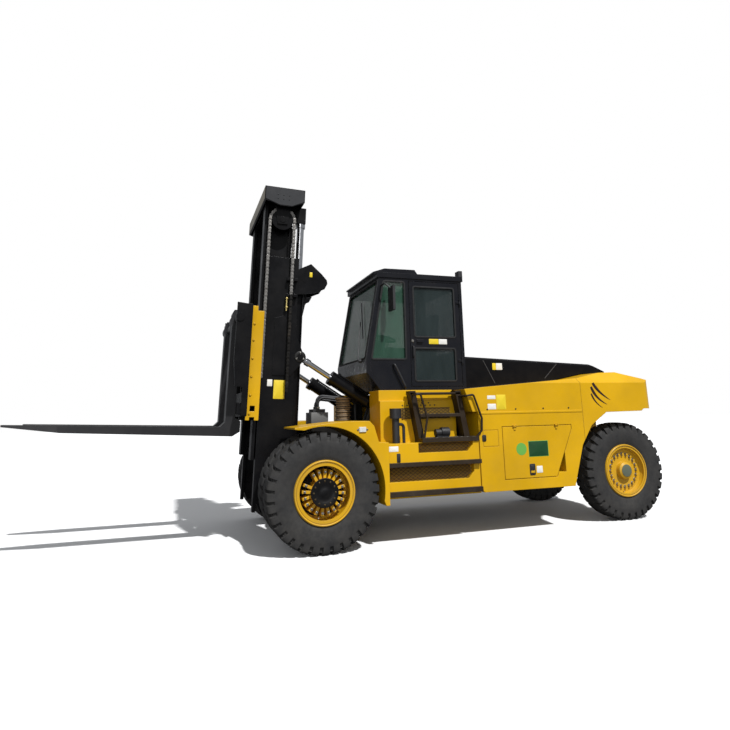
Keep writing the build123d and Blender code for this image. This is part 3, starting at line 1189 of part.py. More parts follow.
TILT_EYE_X, TILT_EYE_Z = leaned_point(TILT_MAST_X, TILT_MAST_Z)
TILT_RUN = math.hypot(TILT_EYE_X - TILT_BASE_X, TILT_EYE_Z - TILT_BASE_Z)
TILT_ANGLE = math.degrees(math.atan2(TILT_EYE_Z - TILT_BASE_Z, TILT_EYE_X - TILT_BASE_X))


def along_tilt(shape):
    """Place a piece drawn along +X from the base pin onto the cylinder's line."""
    return Pos(TILT_BASE_X, TILT_Y, TILT_BASE_Z) * (Rot(0, -TILT_ANGLE, 0) * shape)


def tilt_barrel():
    """Left tilt cylinder tube with its base eye and gland."""
    tube = bar((115, 0, 0), (TILT_BARREL_LENGTH, 0, 0), TILT_BARREL_R)
    collar = bar((TILT_BARREL_LENGTH - 70, 0, 0), (TILT_BARREL_LENGTH, 0, 0), TILT_BARREL_R + 12)
    eye = bar((0, -TILT_EYE_HALF, 0), (0, TILT_EYE_HALF, 0), 75)
    neck = block(0, 120, -TILT_EYE_HALF, TILT_EYE_HALF, -60, 60)
    bore = bar((130, 0, 0), (TILT_BARREL_LENGTH - 90, 0, 0), TILT_ROD_R + 30)
    gland = bar((TILT_BARREL_LENGTH - 100, 0, 0), (TILT_BARREL_LENGTH + 10, 0, 0), TILT_ROD_R + RUNNING_FIT)
    pin_bore = bar((0, -60, 0), (0, 60, 0), TILT_PIN_R + RUNNING_FIT)
    barrel = fused(tube, collar, eye, neck) - bore - gland - pin_bore
    top = TILT_BARREL_R + 20
    for x in (150, 640):
        barrel = barrel + block(x, x + 42, -18, 18, TILT_BARREL_R - 10, top + 14)
    barrel = barrel + bar((170, 0, top - 4), (660, 0, top - 4), 13)
    return along_tilt(barrel)


def tilt_rod():
    """Left tilt rod with the eye that sits on the mast pin."""
    rod = bar((430, 0, 0), (TILT_RUN - 45, 0, 0), TILT_ROD_R)
    eye = bar((TILT_RUN, -TILT_EYE_HALF, 0), (TILT_RUN, TILT_EYE_HALF, 0), 62)
    socket = bar((TILT_RUN - 170, 0, 0), (TILT_RUN - 105, 0, 0), 50)
    bore = bar((TILT_RUN, -60, 0), (TILT_RUN, 60, 0), TILT_PIN_R + TILT_EYE_SLACK)
    return along_tilt(fused(rod, eye, socket) - bore)


def build():
    """Write every sub-part."""
    os.makedirs("parts", exist_ok=True)
    write("chassis_frame", chassis_frame())
    write("drive_axle", drive_axle())
    write("steer_axle", steer_axle())
    write("battery_block", battery_block())
    write("counterweight", counterweight())
    write("hood", hood())
    # Node name, piece drawn on the left
    paired = (
        ("side_bodies", [side_body()]), ("fenders", [fender()]), ("side_tanks", [side_tank()]),
        ("step_frames", step_frame()), ("fender_lamps", [fender_lamp()]),
    )
    for name, pieces in paired:
        write(name, *pieces, *[other_side(piece) for piece in pieces])
    write("hydraulic_fittings", *hydraulic_fittings())
    write("cab_floor", cab_floor())
    write("cab_front_frame", cab_front_frame())
    write("cab_left_frame", cab_left_frame())
    write("cab_right_wall", cab_right_wall())
    write("cab_rear_wall", cab_rear_wall())
    write("cab_roof", cab_roof())
    write("cab_glass", *cab_glass())
    write("cab_door", cab_door())
    write("door_glass", *door_glass())
    write("seat", seat())
    write("driver_controls", *driver_controls())
    write("cab_fittings", *cab_fittings())
    write("outer_mast", lean(outer_mast()))
    write("lift_barrels", *[lean(piece) for piece in lift_barrels()])
    guard = hose_guard()
    write("hose_guards", lean(guard), lean(other_side(guard)))
    write("inner_mast", lean(inner_mast()))
    write("lift_rods", *[lean(piece) for piece in lift_rods()])
    chain = lift_chain()
    write("lift_chains", lean(chain), lean(other_side(chain)))
    write("carriage", lean(carriage()))
    plate = carriage_side_plate()
    write("carriage_side_plates", lean(plate), lean(other_side(plate)))
    treaded = tyre()
    twin_ys = (DRIVE_TYRE_IN + TYRE_WIDTH / 2, DRIVE_TYRE_OUT - TYRE_WIDTH / 2)
    # Name of the piece on each side, piece drawn on the left
    handed = (
        ("fork", [lean(fork())]), ("tilt_barrel", [tilt_barrel()]), ("tilt_rod", [tilt_rod()]),
        ("side_hatch", [side_hatch()]), ("drive_rim", [drive_rim()]),
        ("drive_tyres", [Pos(0, y, TYRE_R) * treaded for y in twin_ys]),
        ("knuckle", [knuckle()]), ("steer_rim", [steer_rim()]),
        ("steer_tyre", [Pos(-WHEELBASE, STEER_TYRE_IN + TYRE_WIDTH / 2, TYRE_R) * treaded]),
    )
    for name, pieces in handed:
        for side_name, side in SIDES:
            write(f"{name}_{side_name}", *[piece if side > 0 else other_side(piece) for piece in pieces])


build()
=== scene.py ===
"""Dress of a heavy electric forklift over its CAD frame.

Finishes, tyre tread, leaf chains, fasteners, hoses and trim, and the stage that shows them.
"""
from __future__ import annotations

import logging
import math
from collections.abc import Sequence
from dataclasses import dataclass
from enum import Enum

import bpy
import numpy as np
from mathutils import Matrix, Vector

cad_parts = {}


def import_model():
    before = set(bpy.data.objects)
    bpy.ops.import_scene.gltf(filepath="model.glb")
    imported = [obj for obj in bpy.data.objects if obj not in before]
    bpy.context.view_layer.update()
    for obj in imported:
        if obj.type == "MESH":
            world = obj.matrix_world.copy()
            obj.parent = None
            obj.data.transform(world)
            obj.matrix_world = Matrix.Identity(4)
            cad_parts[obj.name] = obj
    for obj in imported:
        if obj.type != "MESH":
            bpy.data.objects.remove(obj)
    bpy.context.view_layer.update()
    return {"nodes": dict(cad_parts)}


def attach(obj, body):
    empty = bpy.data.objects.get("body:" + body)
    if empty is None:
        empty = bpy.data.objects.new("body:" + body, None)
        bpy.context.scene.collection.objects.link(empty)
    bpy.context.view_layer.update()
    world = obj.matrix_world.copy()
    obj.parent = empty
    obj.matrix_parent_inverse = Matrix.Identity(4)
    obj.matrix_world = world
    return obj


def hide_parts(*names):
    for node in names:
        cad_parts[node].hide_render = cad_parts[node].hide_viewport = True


Triple = tuple[float, float, float]
Socket = bpy.types.NodeSocket

LOG = logging.getLogger("forklift")
# Drive axle's X in the shared frame, the steered axle's x ahead of it, and the height of both
DRIVE_X = 0.895413
STEER_X = -4.700
AXLE_Z = 0.700
# Pin that the mast tilts about, in the shared frame, and the mast's lean at rest
MAST_PIN = (0.300 + DRIVE_X, 0.520)
MAST_LEAN = math.radians(2.0)
# Each side's name and the sign of its Y, and the bodies that each side has of its own
SIDES = (("left", 1.0), ("right", -1.0))
SIDED = ("drive_wheel", "steer_wheel", "side_hatch")


class Axis(Enum):
    """Axis of the truck that a piece stands out along."""

    AHEAD = "x"
    LEFT = "y"


def ahead(x: float) -> float:
    """Place along the truck in the shared frame, from metres ahead of the drive axle."""
    return x + DRIVE_X


# Meshes


@dataclass
class Shell:
    """A mesh in the making: points, and faces of one or more corner counts.

    Args:
        points: array of shape (n, 3), in metres.
        faces: arrays of corner numbers, each of shape (m, corners).
    """

    points: np.ndarray
    faces: list[np.ndarray]

    def turned(self, matrix: np.ndarray) -> Shell:
        """Copy turned by a 3 by 3 matrix."""
        return Shell(self.points @ np.asarray(matrix, float).T, self.faces)

    def moved(self, x: float = 0.0, y: float = 0.0, z: float = 0.0) -> Shell:
        """Copy shifted by three distances."""
        return Shell(self.points + np.array((x, y, z)), self.faces)

    def flipped(self) -> Shell:
        """Copy on the other side of the truck: Y changes its sign, and each face its direction."""
        return Shell(self.points * np.array((1.0, -1.0, 1.0)), [face[:, ::-1] for face in self.faces])

    def both(self) -> Shell:
        """This piece of the left side together with its like on the right."""
        return joined(self, self.flipped())

    def on_side(self, sign: float) -> Shell:
        """This piece of the left side, or its like on the right where the sign is below zero."""
        return self if sign > 0 else self.flipped()

    def leaned(self) -> Shell:
        """Copy of an upright mast piece, turned back about the mast pin by the mast's lean."""
        x = self.points[:, 0] - MAST_PIN[0]
        z = self.points[:, 2] - MAST_PIN[1]
        cos, sin = math.cos(MAST_LEAN), math.sin(MAST_LEAN)
        across, up = MAST_PIN[0] + x * cos - z * sin, MAST_PIN[1] + z * cos + x * sin
        return Shell(np.column_stack((across, self.points[:, 1], up)), self.faces)

    def copies(self, origins: np.ndarray, turns: np.ndarray | None = None) -> Shell:
        """Many copies as one mesh: each is turned by its own matrix and moved to its own origin.

        Args:
            origins: array of shape (k, 3).
            turns: array of shape (k, 3, 3), or None for no turn.

        Returns:
            The joined copies.
        """
        origins = np.asarray(origins, float).reshape(-1, 3)
        count = len(origins)
        if turns is None:
            turned = np.broadcast_to(self.points, (count, *self.points.shape))
        else:
            turned = np.einsum("kij,nj->kni", np.asarray(turns, float), self.points)
        points = (turned + origins[:, None, :]).reshape(-1, 3)
        step = (np.arange(count) * len(self.points))[:, None, None]
        faces = [(face[None] + step).reshape(-1, face.shape[1]) for face in self.faces]
        return Shell(points, faces)


def joined(*shells: Shell) -> Shell:
    """One mesh from several."""
    starts = np.cumsum([0] + [len(shell.points) for shell in shells])
    faces = [face + start for shell, start in zip(shells, starts) for face in shell.faces]
    return Shell(np.vstack([shell.points for shell in shells]), faces)


def grid_faces(rows: int, columns: int, close_rows: bool, close_columns: bool) -> np.ndarray:
    """Four-cornered faces of a grid of points numbered row by row, wrapped where asked."""
    row = np.arange(rows if close_rows else rows - 1)
    column = np.arange(columns if close_columns else columns - 1)
    low, side = np.meshgrid(row, column, indexing="ij")
    up = (low + 1) % rows
    across = (side + 1) % columns
    corners = (low * columns + side, low * columns + across, up * columns + across, up * columns + side)
    return np.stack(corners, -1).reshape(-1, 4)


def lofted(rings: np.ndarray) -> Shell:
    """Closed skin over rings of points of shape (rings, points, 3), each end closed by a fan to its middle.

    Each ring turns left seen from the far end, so that the faces point outwards.
    """
    count, around, _ = rings.shape
    points = np.vstack((rings.reshape(-1, 3), rings[0].mean(0), rings[-1].mean(0)))
    first, last = count * around, count * around + 1
    index = np.arange(around)
    after = (index + 1) % around
    base = np.column_stack((after, index, np.full(around, first)))
    top = (count - 1) * around
    crown = np.column_stack((top + index, top + after, np.full(around, last)))
    return Shell(points, [grid_faces(count, around, False, True), base, crown])


def spun(profile: Sequence, steps: int = 32, closed: bool = False) -> Shell:
    """Surface of revolution about Z: radius r and height z of each profile point, at an angle a.

    A point is (r cos a, r sin a, z). A profile whose ends lie on the axis needs no lid.

    Args:
        profile: pairs of radius and height, going up the outside.
        steps: stations round the axis.
        closed: whether the profile's last point joins its first.

    Returns:
        The surface.
    """
    profile = np.asarray(profile, float)
    angle = np.linspace(0, 2 * math.pi, steps, endpoint=False)
    radius, height = profile[:, 0][:, None], profile[:, 1][:, None]
    level = np.broadcast_to(height, (len(profile), steps))
    points = np.stack((radius * np.cos(angle), radius * np.sin(angle), level), -1)
    if closed:
        return Shell(points.reshape(-1, 3), [grid_faces(len(profile), steps, True, True)])
    return lofted(points)


def rounded_ring(length: float, width: float, corner: float, steps: int = 3) -> np.ndarray:
    """Rounded rectangle about the origin: each corner is a quarter circle of the corner radius."""
    quarter = np.linspace(0, math.pi / 2, steps + 1)
    angle = (quarter[None] + np.arange(4)[:, None] * math.pi / 2).ravel()
    signs = np.repeat(np.array(((1, 1), (-1, 1), (-1, -1), (1, -1))), steps + 1, axis=0)
    centre = signs * np.array((length / 2 - corner, width / 2 - corner))
    return centre + corner * np.column_stack((np.cos(angle), np.sin(angle)))


def slab(length: float, width: float, height: float, corner: float = 0.004, edge: float = 0.002) -> Shell:
    """Plate with rounded corners and rounded rims, standing on Z = 0 about the origin.

    The rings follow the rim: at share s of a quarter turn, the inset is edge times (1 - sin s) and the
    height edge times (1 - cos s), and the same in mirror at the top.
    """
    turn = np.linspace(0, math.pi / 2, 3)
    inset = np.concatenate((edge * (1 - np.sin(turn)), (edge * (1 - np.sin(turn)))[::-1]))
    level = np.concatenate((edge * (1 - np.cos(turn)), height - (edge * (1 - np.cos(turn)))[::-1]))
    ring = rounded_ring(length, width, corner)
    reach = np.array((length / 2, width / 2))
    rings = ring[None] * (1 - inset[:, None, None] / reach)
    points = np.concatenate((rings, np.broadcast_to(level[:, None, None], (*rings.shape[:2], 1))), -1)
    return lofted(points)


def smooth_path(points: list[Triple], stations: int) -> np.ndarray:
    """Points evenly spread along a smooth curve through the given ones.

    Between two given points the curve is the cubic whose end slopes are half the step from the point
    before to the point after, the usual rule for a curve through points.
    """
    given = np.asarray(points, float)
    padded = np.vstack((2 * given[0] - given[1], given, 2 * given[-1] - given[-2]))
    place = np.linspace(0, len(given) - 1 - 1e-9, stations)
    span = place.astype(int)
    t = (place - span)[:, None]
    before, start, end, after = (padded[span + k] for k in range(4))
    slope_in, slope_out = (end - before) / 2, (after - start) / 2
    cube, square = t ** 3, t ** 2
    return ((2 * cube - 3 * square + 1) * start + (cube - 2 * square + t) * slope_in
            + (3 * square - 2 * cube) * end + (cube - square) * slope_out)


def swept(path: np.ndarray, ring: np.ndarray, across: Triple = (0.0, 1.0, 0.0)) -> Shell:
    """A flat outline carried along a path: at each point of the path, the outline's two directions are
    square to the path's slope, the first of them as near as can be to the given direction.

    Args:
        path: array of shape (n, 3).
        ring: outline of shape (m, 2), turning left.
        across: direction that the outline's first axis leans to, never along the path.

    Returns:
        The closed skin.
    """
    slope = np.gradient(path, axis=0)
    slope /= np.linalg.norm(slope, axis=1, keepdims=True)
    second = np.cross(slope, np.asarray(across, float))
    second /= np.linalg.norm(second, axis=1, keepdims=True)
    first = np.cross(second, slope)
    rings = path[:, None] + ring[None, :, :1] * first[:, None] + ring[None, :, 1:] * second[:, None]
    return lofted(rings)


def circle(radius: float, steps: int = 12) -> np.ndarray:
    """Points of a circle about the origin, turning left."""
    angle = np.linspace(0, 2 * math.pi, steps, endpoint=False)
    return radius * np.column_stack((np.cos(angle), np.sin(angle)))


def bolt(radius: float, height: float) -> Shell:
    """Hexagon bolt head with a washer and a chamfered top, on Z = 0."""
    washer = spun(((radius * 1.35, 0), (radius * 1.35, height * 0.25)), 16)
    turn = np.linspace(0, 2 * math.pi, 6, endpoint=False)
    hexagon = np.column_stack((np.cos(turn), np.sin(turn)))
    levels = np.array(((1.0, 0.2), (1.0, 0.85), (0.86, 1.0)))
    rings = np.stack([np.column_stack((hexagon * radius * share, np.full(6, height * level)))
                      for share, level in levels])
    return joined(washer, lofted(rings))


def facing(axis: Axis, sign: float) -> np.ndarray:
    """Matrix that turns a piece standing on Z = 0 so that it stands out along an axis of the truck.

    Args:
        axis: the axis.
        sign: 1 to stand out ahead or to the left, -1 for the other way.

    Returns:
        Matrix of shape (3, 3).
    """
    if axis is Axis.AHEAD:
        return np.array(((0, 0, sign), (0, 1, 0), (-sign, 0, 0)), float)
    return np.array(((1, 0, 0), (0, 0, sign), (0, -sign, 0)), float)


def rounded_path(corners: list[Triple], radius: float, steps: int = 4) -> np.ndarray:
    """Closed path through corners, each rounded by the parabola that touches both of its sides.

    With the two touching points A and B and the corner C, a point is (1 - t)^2 A + 2 t (1 - t) C + t^2 B.
    """
    points = np.asarray(corners, float)
    before = np.roll(points, 1, 0) - points
    after = np.roll(points, -1, 0) - points
    before *= radius / np.linalg.norm(before, axis=1, keepdims=True)
    after *= radius / np.linalg.norm(after, axis=1, keepdims=True)
    t = np.linspace(0, 1, steps)[None, :, None]
    start, end = (points + before)[:, None], (points + after)[:, None]
    arcs = (1 - t) ** 2 * start + 2 * t * (1 - t) * points[:, None] + t * t * end
    return arcs.reshape(-1, 3)


def looped(path: np.ndarray, ring: np.ndarray, normal: Triple) -> Shell:
    """A flat outline carried round a closed path in one plane, its first axis along the plane's normal."""
    slope = np.roll(path, -1, 0) - np.roll(path, 1, 0)
    slope /= np.linalg.norm(slope, axis=1, keepdims=True)
    first = np.asarray(normal, float) / np.linalg.norm(normal)
    second = np.cross(slope, first)
    rings = path[:, None] + ring[None, :, :1] * first + ring[None, :, 1:] * second[:, None]
    return Shell(rings.reshape(-1, 3), [grid_faces(len(path), len(ring), True, True)])


def plaque(x: float, z: float, length: float, height: float, y: float, thick: float = 0.0015,
           corner: float = 0.006) -> Shell:
    """Thin plate on a left side face.

    Args:
        x: its middle, ahead of the drive axle.
        z: its middle's height.
        length: along the truck.
        height: up.
        y: the face's way out from the middle of the truck.
        thick: the plate's thickness.
        corner: radius of its corners.

    Returns:
        The plate.
    """
    flat = slab(length, height, thick, corner, thick * 0.4).turned(facing(Axis.LEFT, 1.0))
    return flat.moved(ahead(x), y, z)


def side_bolts(places: list[tuple[float, float]], y: float, radius: float, height: float) -> Shell:
    """Bolts on a left side face at places of x ahead of the drive axle and z up."""
    origins = np.array([(ahead(x), y, z) for x, z in places])
    turns = np.broadcast_to(facing(Axis.LEFT, 1.0), (len(places), 3, 3))
    return bolt(radius, height).copies(origins, turns)


def bolt_ring(x: float, z: float, ring: float, angles: np.ndarray, y: float, radius: float,
              height: float) -> Shell:
    """Bolts round a circle of a left side face: one at (x + ring cos a, z + ring sin a) for each angle a."""
    places = list(zip(x + ring * np.cos(angles), z + ring * np.sin(angles)))
    return side_bolts(places, y, radius, height)


def turned_piece(profile: Sequence, x: float, y: float, z: float, steps: int = 32,
                 closed: bool = False) -> Shell:
    """Surface of revolution that stands out of a left side face, its middle at x ahead of the drive axle."""
    return spun(profile, steps, closed).turned(facing(Axis.LEFT, 1.0)).moved(ahead(x), y, z)


def upright(outline: np.ndarray, *levels: float) -> Shell:
    """Closed skin of an outline of the X and Z plane, carried through levels of Y."""
    rings = [np.column_stack((outline[:, 0], np.full(len(outline), y), outline[:, 1])) for y in levels]
    return lofted(np.stack(rings))


def lattice(x_low: float, x_high: float, z_low: float, z_high: float, y: float, cell: float = 0.032) -> Shell:
    """Expanded metal: zigzag strands one above the other, whose peaks meet the next one's valleys.

    Along a strand, every half cell of x turns the height from one side of its line to the other.

    Args:
        x_low: rear end, ahead of the drive axle.
        x_high: front end.
        z_low: lowest height.
        z_high: highest height.
        y: the mesh's way out from the middle of the truck.
        cell: width of an opening.

    Returns:
        The strands.
    """
    count = int((x_high - x_low) / cell)
    rows = int((z_high - z_low) / (cell * 0.62))
    x = np.linspace(ahead(x_low), ahead(x_high), count + 1)
    strands = []
    for row in range(rows + 1):
        wave = np.where((np.arange(count + 1) + row) % 2, 1.0, -1.0) * cell * 0.27
        level = z_low + (z_high - z_low) * row / rows
        path = np.column_stack((x, np.full(count + 1, y), np.clip(level + wave, z_low, z_high)))
        strands.append(swept(path, rounded_ring(0.004, 0.0075, 0.0008, 1)))
    return joined(*strands)


# Finishes


def scaled(colour: Triple, factor: float, lift: float = 0.0) -> Triple:
    """A colour times a factor plus a lift, no channel over 1."""
    return tuple(min(1.0, channel * factor + lift) for channel in colour)


class Sketch:
    """Short way to draw a material's nodes."""

    def __init__(self, name: str) -> None:
        """Start an empty material with its output and its shader."""
        self.material = bpy.data.materials.new(name)
        self.material.use_nodes = True
        self.tree = self.material.node_tree
        self.tree.nodes.clear()
        self.output = self.tree.nodes.new("ShaderNodeOutputMaterial")
        self.shader = self.tree.nodes.new("ShaderNodeBsdfPrincipled")
        self.tree.links.new(self.shader.outputs[0], self.output.inputs["Surface"])
        self.place = self.add("ShaderNodeTexCoord").outputs["Object"]

    def add(self, kind: str, **settings: object) -> bpy.types.Node:
        """New node of a kind, with its own settings."""
        node = self.tree.nodes.new(kind)
        for key, value in settings.items():
            setattr(node, key, value)
        return node

    def link(self, source: Socket, target: Socket) -> None:
        """Join two sockets."""
        self.tree.links.new(source, target)

    def noise(self, scale: float, detail: float = 3.0, rough: float = 0.55,
              stretch: tuple = (1, 1, 1)) -> Socket:
        """Noise over the object's own coordinates, stretched where asked."""
        node = self.add("ShaderNodeTexNoise")
        node.inputs["Scale"].default_value = scale
        node.inputs["Detail"].default_value = detail
        node.inputs["Roughness"].default_value = rough
        if stretch == (1, 1, 1):
            self.link(self.place, node.inputs["Vector"])
        else:
            mapping = self.add("ShaderNodeMapping")
            mapping.inputs["Scale"].default_value = stretch
            self.link(self.place, mapping.inputs["Vector"])
            self.link(mapping.outputs[0], node.inputs["Vector"])
        return node.outputs[0]

    def ranged(self, source: Socket, low: float, high: float, to_low: float = 0.0,
               to_high: float = 1.0) -> Socket:
        """A value's range carried over to another, and held inside it."""
        node = self.add("ShaderNodeMapRange")
        for key, value in zip(("From Min", "From Max", "To Min", "To Max"), (low, high, to_low, to_high)):
            node.inputs[key].default_value = value
        self.link(source, node.inputs["Value"])
        return node.outputs[0]

    def maths(self, operation: str, first: Socket, second: Socket | float) -> Socket:
        """Sum, product or other operation on two values."""
        node = self.add("ShaderNodeMath", operation=operation)
        self.link(first, node.inputs[0])
        if isinstance(second, (int, float)):
            node.inputs[1].default_value = second
        else:
            self.link(second, node.inputs[1])
        return node.outputs[0]

    def blended(self, share: Socket, first: object, second: object) -> Socket:
        """Mix of two colours by a share; each is a socket or a plain colour."""
        node = self.add("ShaderNodeMix", data_type="RGBA")
        self.link(share, node.inputs["Factor"])
        for key, value in ((6, first), (7, second)):
            if isinstance(value, tuple):
                node.inputs[key].default_value = (*value, 1.0)
            else:
                self.link(value, node.inputs[key])
        return node.outputs[2]

    def height(self) -> Socket:
        """Height above the floor."""
        node = self.add("ShaderNodeSeparateXYZ")
        self.link(self.place, node.inputs[0])
        return node.outputs[2]

    def eased_edge(self, radius: float) -> tuple[Socket, Socket]:
        """Normal that rounds sharp edges to a radius, and a mask that is 1 on those edges."""
        bevel = self.add("ShaderNodeBevel", samples=4)
        bevel.inputs["Radius"].default_value = radius
        plain = self.add("ShaderNodeNewGeometry")
        product = self.add("ShaderNodeVectorMath", operation="DOT_PRODUCT")
        self.link(bevel.outputs[0], product.inputs[0])
        self.link(plain.outputs["True Normal"], product.inputs[1])
        return bevel.outputs[0], self.ranged(product.outputs["Value"], 0.995, 0.90)

    def relief(self, height: Socket, depth: float, normal: Socket | None = None) -> Socket:
        """Bump of a depth in metres, over another normal where given."""
        node = self.add("ShaderNodeBump")
        node.inputs["Distance"].default_value = depth
        self.link(height, node.inputs["Height"])
        if normal is not None:
            self.link(normal, node.inputs["Normal"])
        return node.outputs[0]

    def colour(self, source: Socket) -> None:
        """Lead a colour to the shader."""
        self.link(source, self.shader.inputs["Base Color"])

    def roughness(self, source: Socket) -> None:
        """Lead a roughness to the shader."""
        self.link(source, self.shader.inputs["Roughness"])

    def normal(self, source: Socket) -> None:
        """Lead a normal to the shader."""
        self.link(source, self.shader.inputs["Normal"])


@dataclass(frozen=True)
class Paint:
    """Sprayed paint: slow drift of shade, orange peel, dust low down and brighter worn edges.

    Args:
        name: the material's name.
        colour: paint colour.
        rough: roughness of the clean paint.
        edge: radius that sharp edges are rounded to, in metres.
        dust: dust's share near the floor.
        worn: colour of the worn edges.
        wear: share of wear on the edges.
        coat: clear coat weight.
        sheen: strength of the paint's own reflection.
        dust_colour: colour of the dust.
    """

    name: str
    colour: Triple
    rough: float = 0.32
    edge: float = 0.006
    dust: float = 0.35
    worn: Triple = (0.5, 0.48, 0.44)
    wear: float = 0.35
    coat: float = 0.0
    sheen: float = 0.5
    dust_colour: Triple = (0.20, 0.17, 0.13)

    def build(self) -> bpy.types.Material:
        """Draw the material."""
        ink = Sketch(self.name)
        drift = ink.ranged(ink.noise(1.1, 4.0), 0.35, 0.65)
        shade = ink.blended(drift, scaled(self.colour, 0.86), scaled(self.colour, 1.06))
        normal, edges = ink.eased_edge(self.edge)
        patchy = ink.ranged(ink.noise(9.0, 6.0, 0.7), 0.42, 0.62)
        rubbed = ink.maths("MULTIPLY", ink.maths("MULTIPLY", edges, patchy), self.wear)
        shade = ink.blended(rubbed, shade, self.worn)
        low = ink.ranged(ink.height(), 0.2, 2.2, self.dust, 0.02)
        dirt = ink.maths("MULTIPLY", low, ink.ranged(ink.noise(5.0, 8.0, 0.68), 0.38, 0.75))
        shade = ink.blended(dirt, shade, self.dust_colour)
        ink.colour(shade)
        smear = ink.ranged(ink.noise(3.3, 5.0, 0.6), 0.3, 0.7, self.rough - 0.06, self.rough + 0.12)
        ink.roughness(ink.maths("ADD", smear, ink.maths("MULTIPLY", dirt, 0.4)))
        ink.normal(ink.relief(ink.noise(160.0, 2.0), 0.00025, normal))
        ink.shader.inputs["Specular IOR Level"].default_value = self.sheen
        if self.coat:
            ink.shader.inputs["Coat Weight"].default_value = self.coat
            ink.shader.inputs["Coat Roughness"].default_value = 0.12
        return ink.material


@dataclass(frozen=True)
class BareSteel:
    """Machined or rolled steel: long brushed lines, darker stains and a metal sheen.

    Args:
        name: the material's name.
        colour: the steel's colour.
        rough: roughness along the lines.
        metal: share of metal.
        stretch: stretch of the brushed lines along each axis.
        stain: colour of the stains.
    """

    name: str
    colour: Triple = (0.55, 0.56, 0.57)
    rough: float = 0.28
    metal: float = 1.0
    stretch: Triple = (1.0, 1.0, 40.0)
    stain: Triple = (0.12, 0.10, 0.08)

    def build(self) -> bpy.types.Material:
        """Draw the material."""
        ink = Sketch(self.name)
        lines = ink.noise(30.0, 3.0, 0.5, self.stretch)
        stains = ink.ranged(ink.noise(7.0, 7.0, 0.7), 0.5, 0.75, 0.0, 0.6)
        shade = ink.blended(lines, scaled(self.colour, 0.85), scaled(self.colour, 1.12))
        ink.colour(ink.blended(stains, shade, self.stain))
        ink.roughness(ink.ranged(lines, 0.3, 0.7, self.rough - 0.06, self.rough + 0.14))
        normal, _ = ink.eased_edge(0.003)
        ink.normal(ink.relief(lines, 0.0002, normal))
        ink.shader.inputs["Metallic"].default_value = self.metal
        return ink.material


@dataclass(frozen=True)
class Rubber:
    """Tyre or hose rubber: dusty black with a fine grain, and paler where it rolls.

    Args:
        name: the material's name.
        colour: the rubber's colour.
        dust: dust's share near the floor.
        rough: middle roughness.
        grain: fineness of the grain.
    """

    name: str
    colour: Triple = (0.028, 0.028, 0.029)
    dust: float = 0.45
    rough: float = 0.82
    grain: float = 300.0

    def build(self) -> bpy.types.Material:
        """Draw the material."""
        ink = Sketch(self.name)
        shade = ink.blended(ink.noise(14.0, 5.0), scaled(self.colour, 0.75), scaled(self.colour, 1.5))
        low = ink.ranged(ink.height(), 0.0, 1.6, self.dust, self.dust * 0.5)
        dirt = ink.maths("MULTIPLY", low, ink.ranged(ink.noise(6.0, 8.0, 0.7), 0.35, 0.75))
        ink.colour(ink.blended(dirt, shade, (0.16, 0.145, 0.125)))
        ink.roughness(ink.ranged(ink.noise(20.0, 4.0), 0.3, 0.7, self.rough - 0.1, self.rough + 0.08))
        ink.normal(ink.relief(ink.noise(self.grain, 3.0, 0.6), 0.0006))
        return ink.material


@dataclass(frozen=True)
class Plastic:
    """Moulded plastic with a leather-like grain.

    Args:
        name: the material's name.
        colour: the plastic's colour.
        rough: middle roughness.
        grain: fineness of the grain.
        depth: depth of the grain, in metres.
    """

    name: str
    colour: Triple
    rough: float = 0.5
    grain: float = 420.0
    depth: float = 0.0003

    def build(self) -> bpy.types.Material:
        """Draw the material."""
        ink = Sketch(self.name)
        cells = ink.add("ShaderNodeTexVoronoi")
        cells.inputs["Scale"].default_value = self.grain
        ink.link(ink.place, cells.inputs["Vector"])
        drift = ink.ranged(ink.noise(4.0, 4.0), 0.35, 0.65)
        ink.colour(ink.blended(drift, scaled(self.colour, 0.85), scaled(self.colour, 1.12)))
        ink.roughness(ink.ranged(ink.noise(11.0, 4.0), 0.3, 0.7, self.rough - 0.08, self.rough + 0.1))
        normal, _ = ink.eased_edge(0.004)
        ink.normal(ink.relief(cells.outputs["Distance"], self.depth, normal))
        return ink.material


@dataclass(frozen=True)
class Glass:
    """Tinted safety glass: see-through, glossy, with faint wiped dust.

    Args:
        name: the material's name.
        colour: the tint.
        cover: share of what is behind that it hides.
    """

    name: str
    colour: Triple = (0.05, 0.10, 0.08)
    cover: float = 0.42

    def build(self) -> bpy.types.Material:
        """Draw the material."""
        ink = Sketch(self.name)
        wiped = ink.ranged(ink.noise(2.4, 6.0, 0.65, (1.0, 1.0, 0.35)), 0.35, 0.75)
        ink.colour(ink.blended(wiped, self.colour, scaled(self.colour, 1.7, 0.01)))
        cover = ink.ranged(wiped, 0.0, 1.0, self.cover - 0.05, self.cover + 0.10)
        ink.link(cover, ink.shader.inputs["Alpha"])
        ink.roughness(ink.ranged(wiped, 0.0, 1.0, 0.03, 0.12))
        ink.shader.inputs["Specular IOR Level"].default_value = 0.5
        return ink.material


@dataclass(frozen=True)
class Vinyl:
    """Seat cover: fine leather grain over slow dents.

    Args:
        name: the material's name.
        colour: the cover's colour.
    """

    name: str
    colour: Triple = (0.02, 0.02, 0.022)

    def build(self) -> bpy.types.Material:
        """Draw the material."""
        ink = Sketch(self.name)
        ink.colour(ink.blended(ink.noise(25.0, 4.0), self.colour, scaled(self.colour, 2.0)))
        ink.roughness(ink.ranged(ink.noise(60.0, 3.0), 0.3, 0.7, 0.45, 0.65))
        ink.normal(ink.relief(ink.noise(350.0, 4.0, 0.6), 0.0008))
        return ink.material


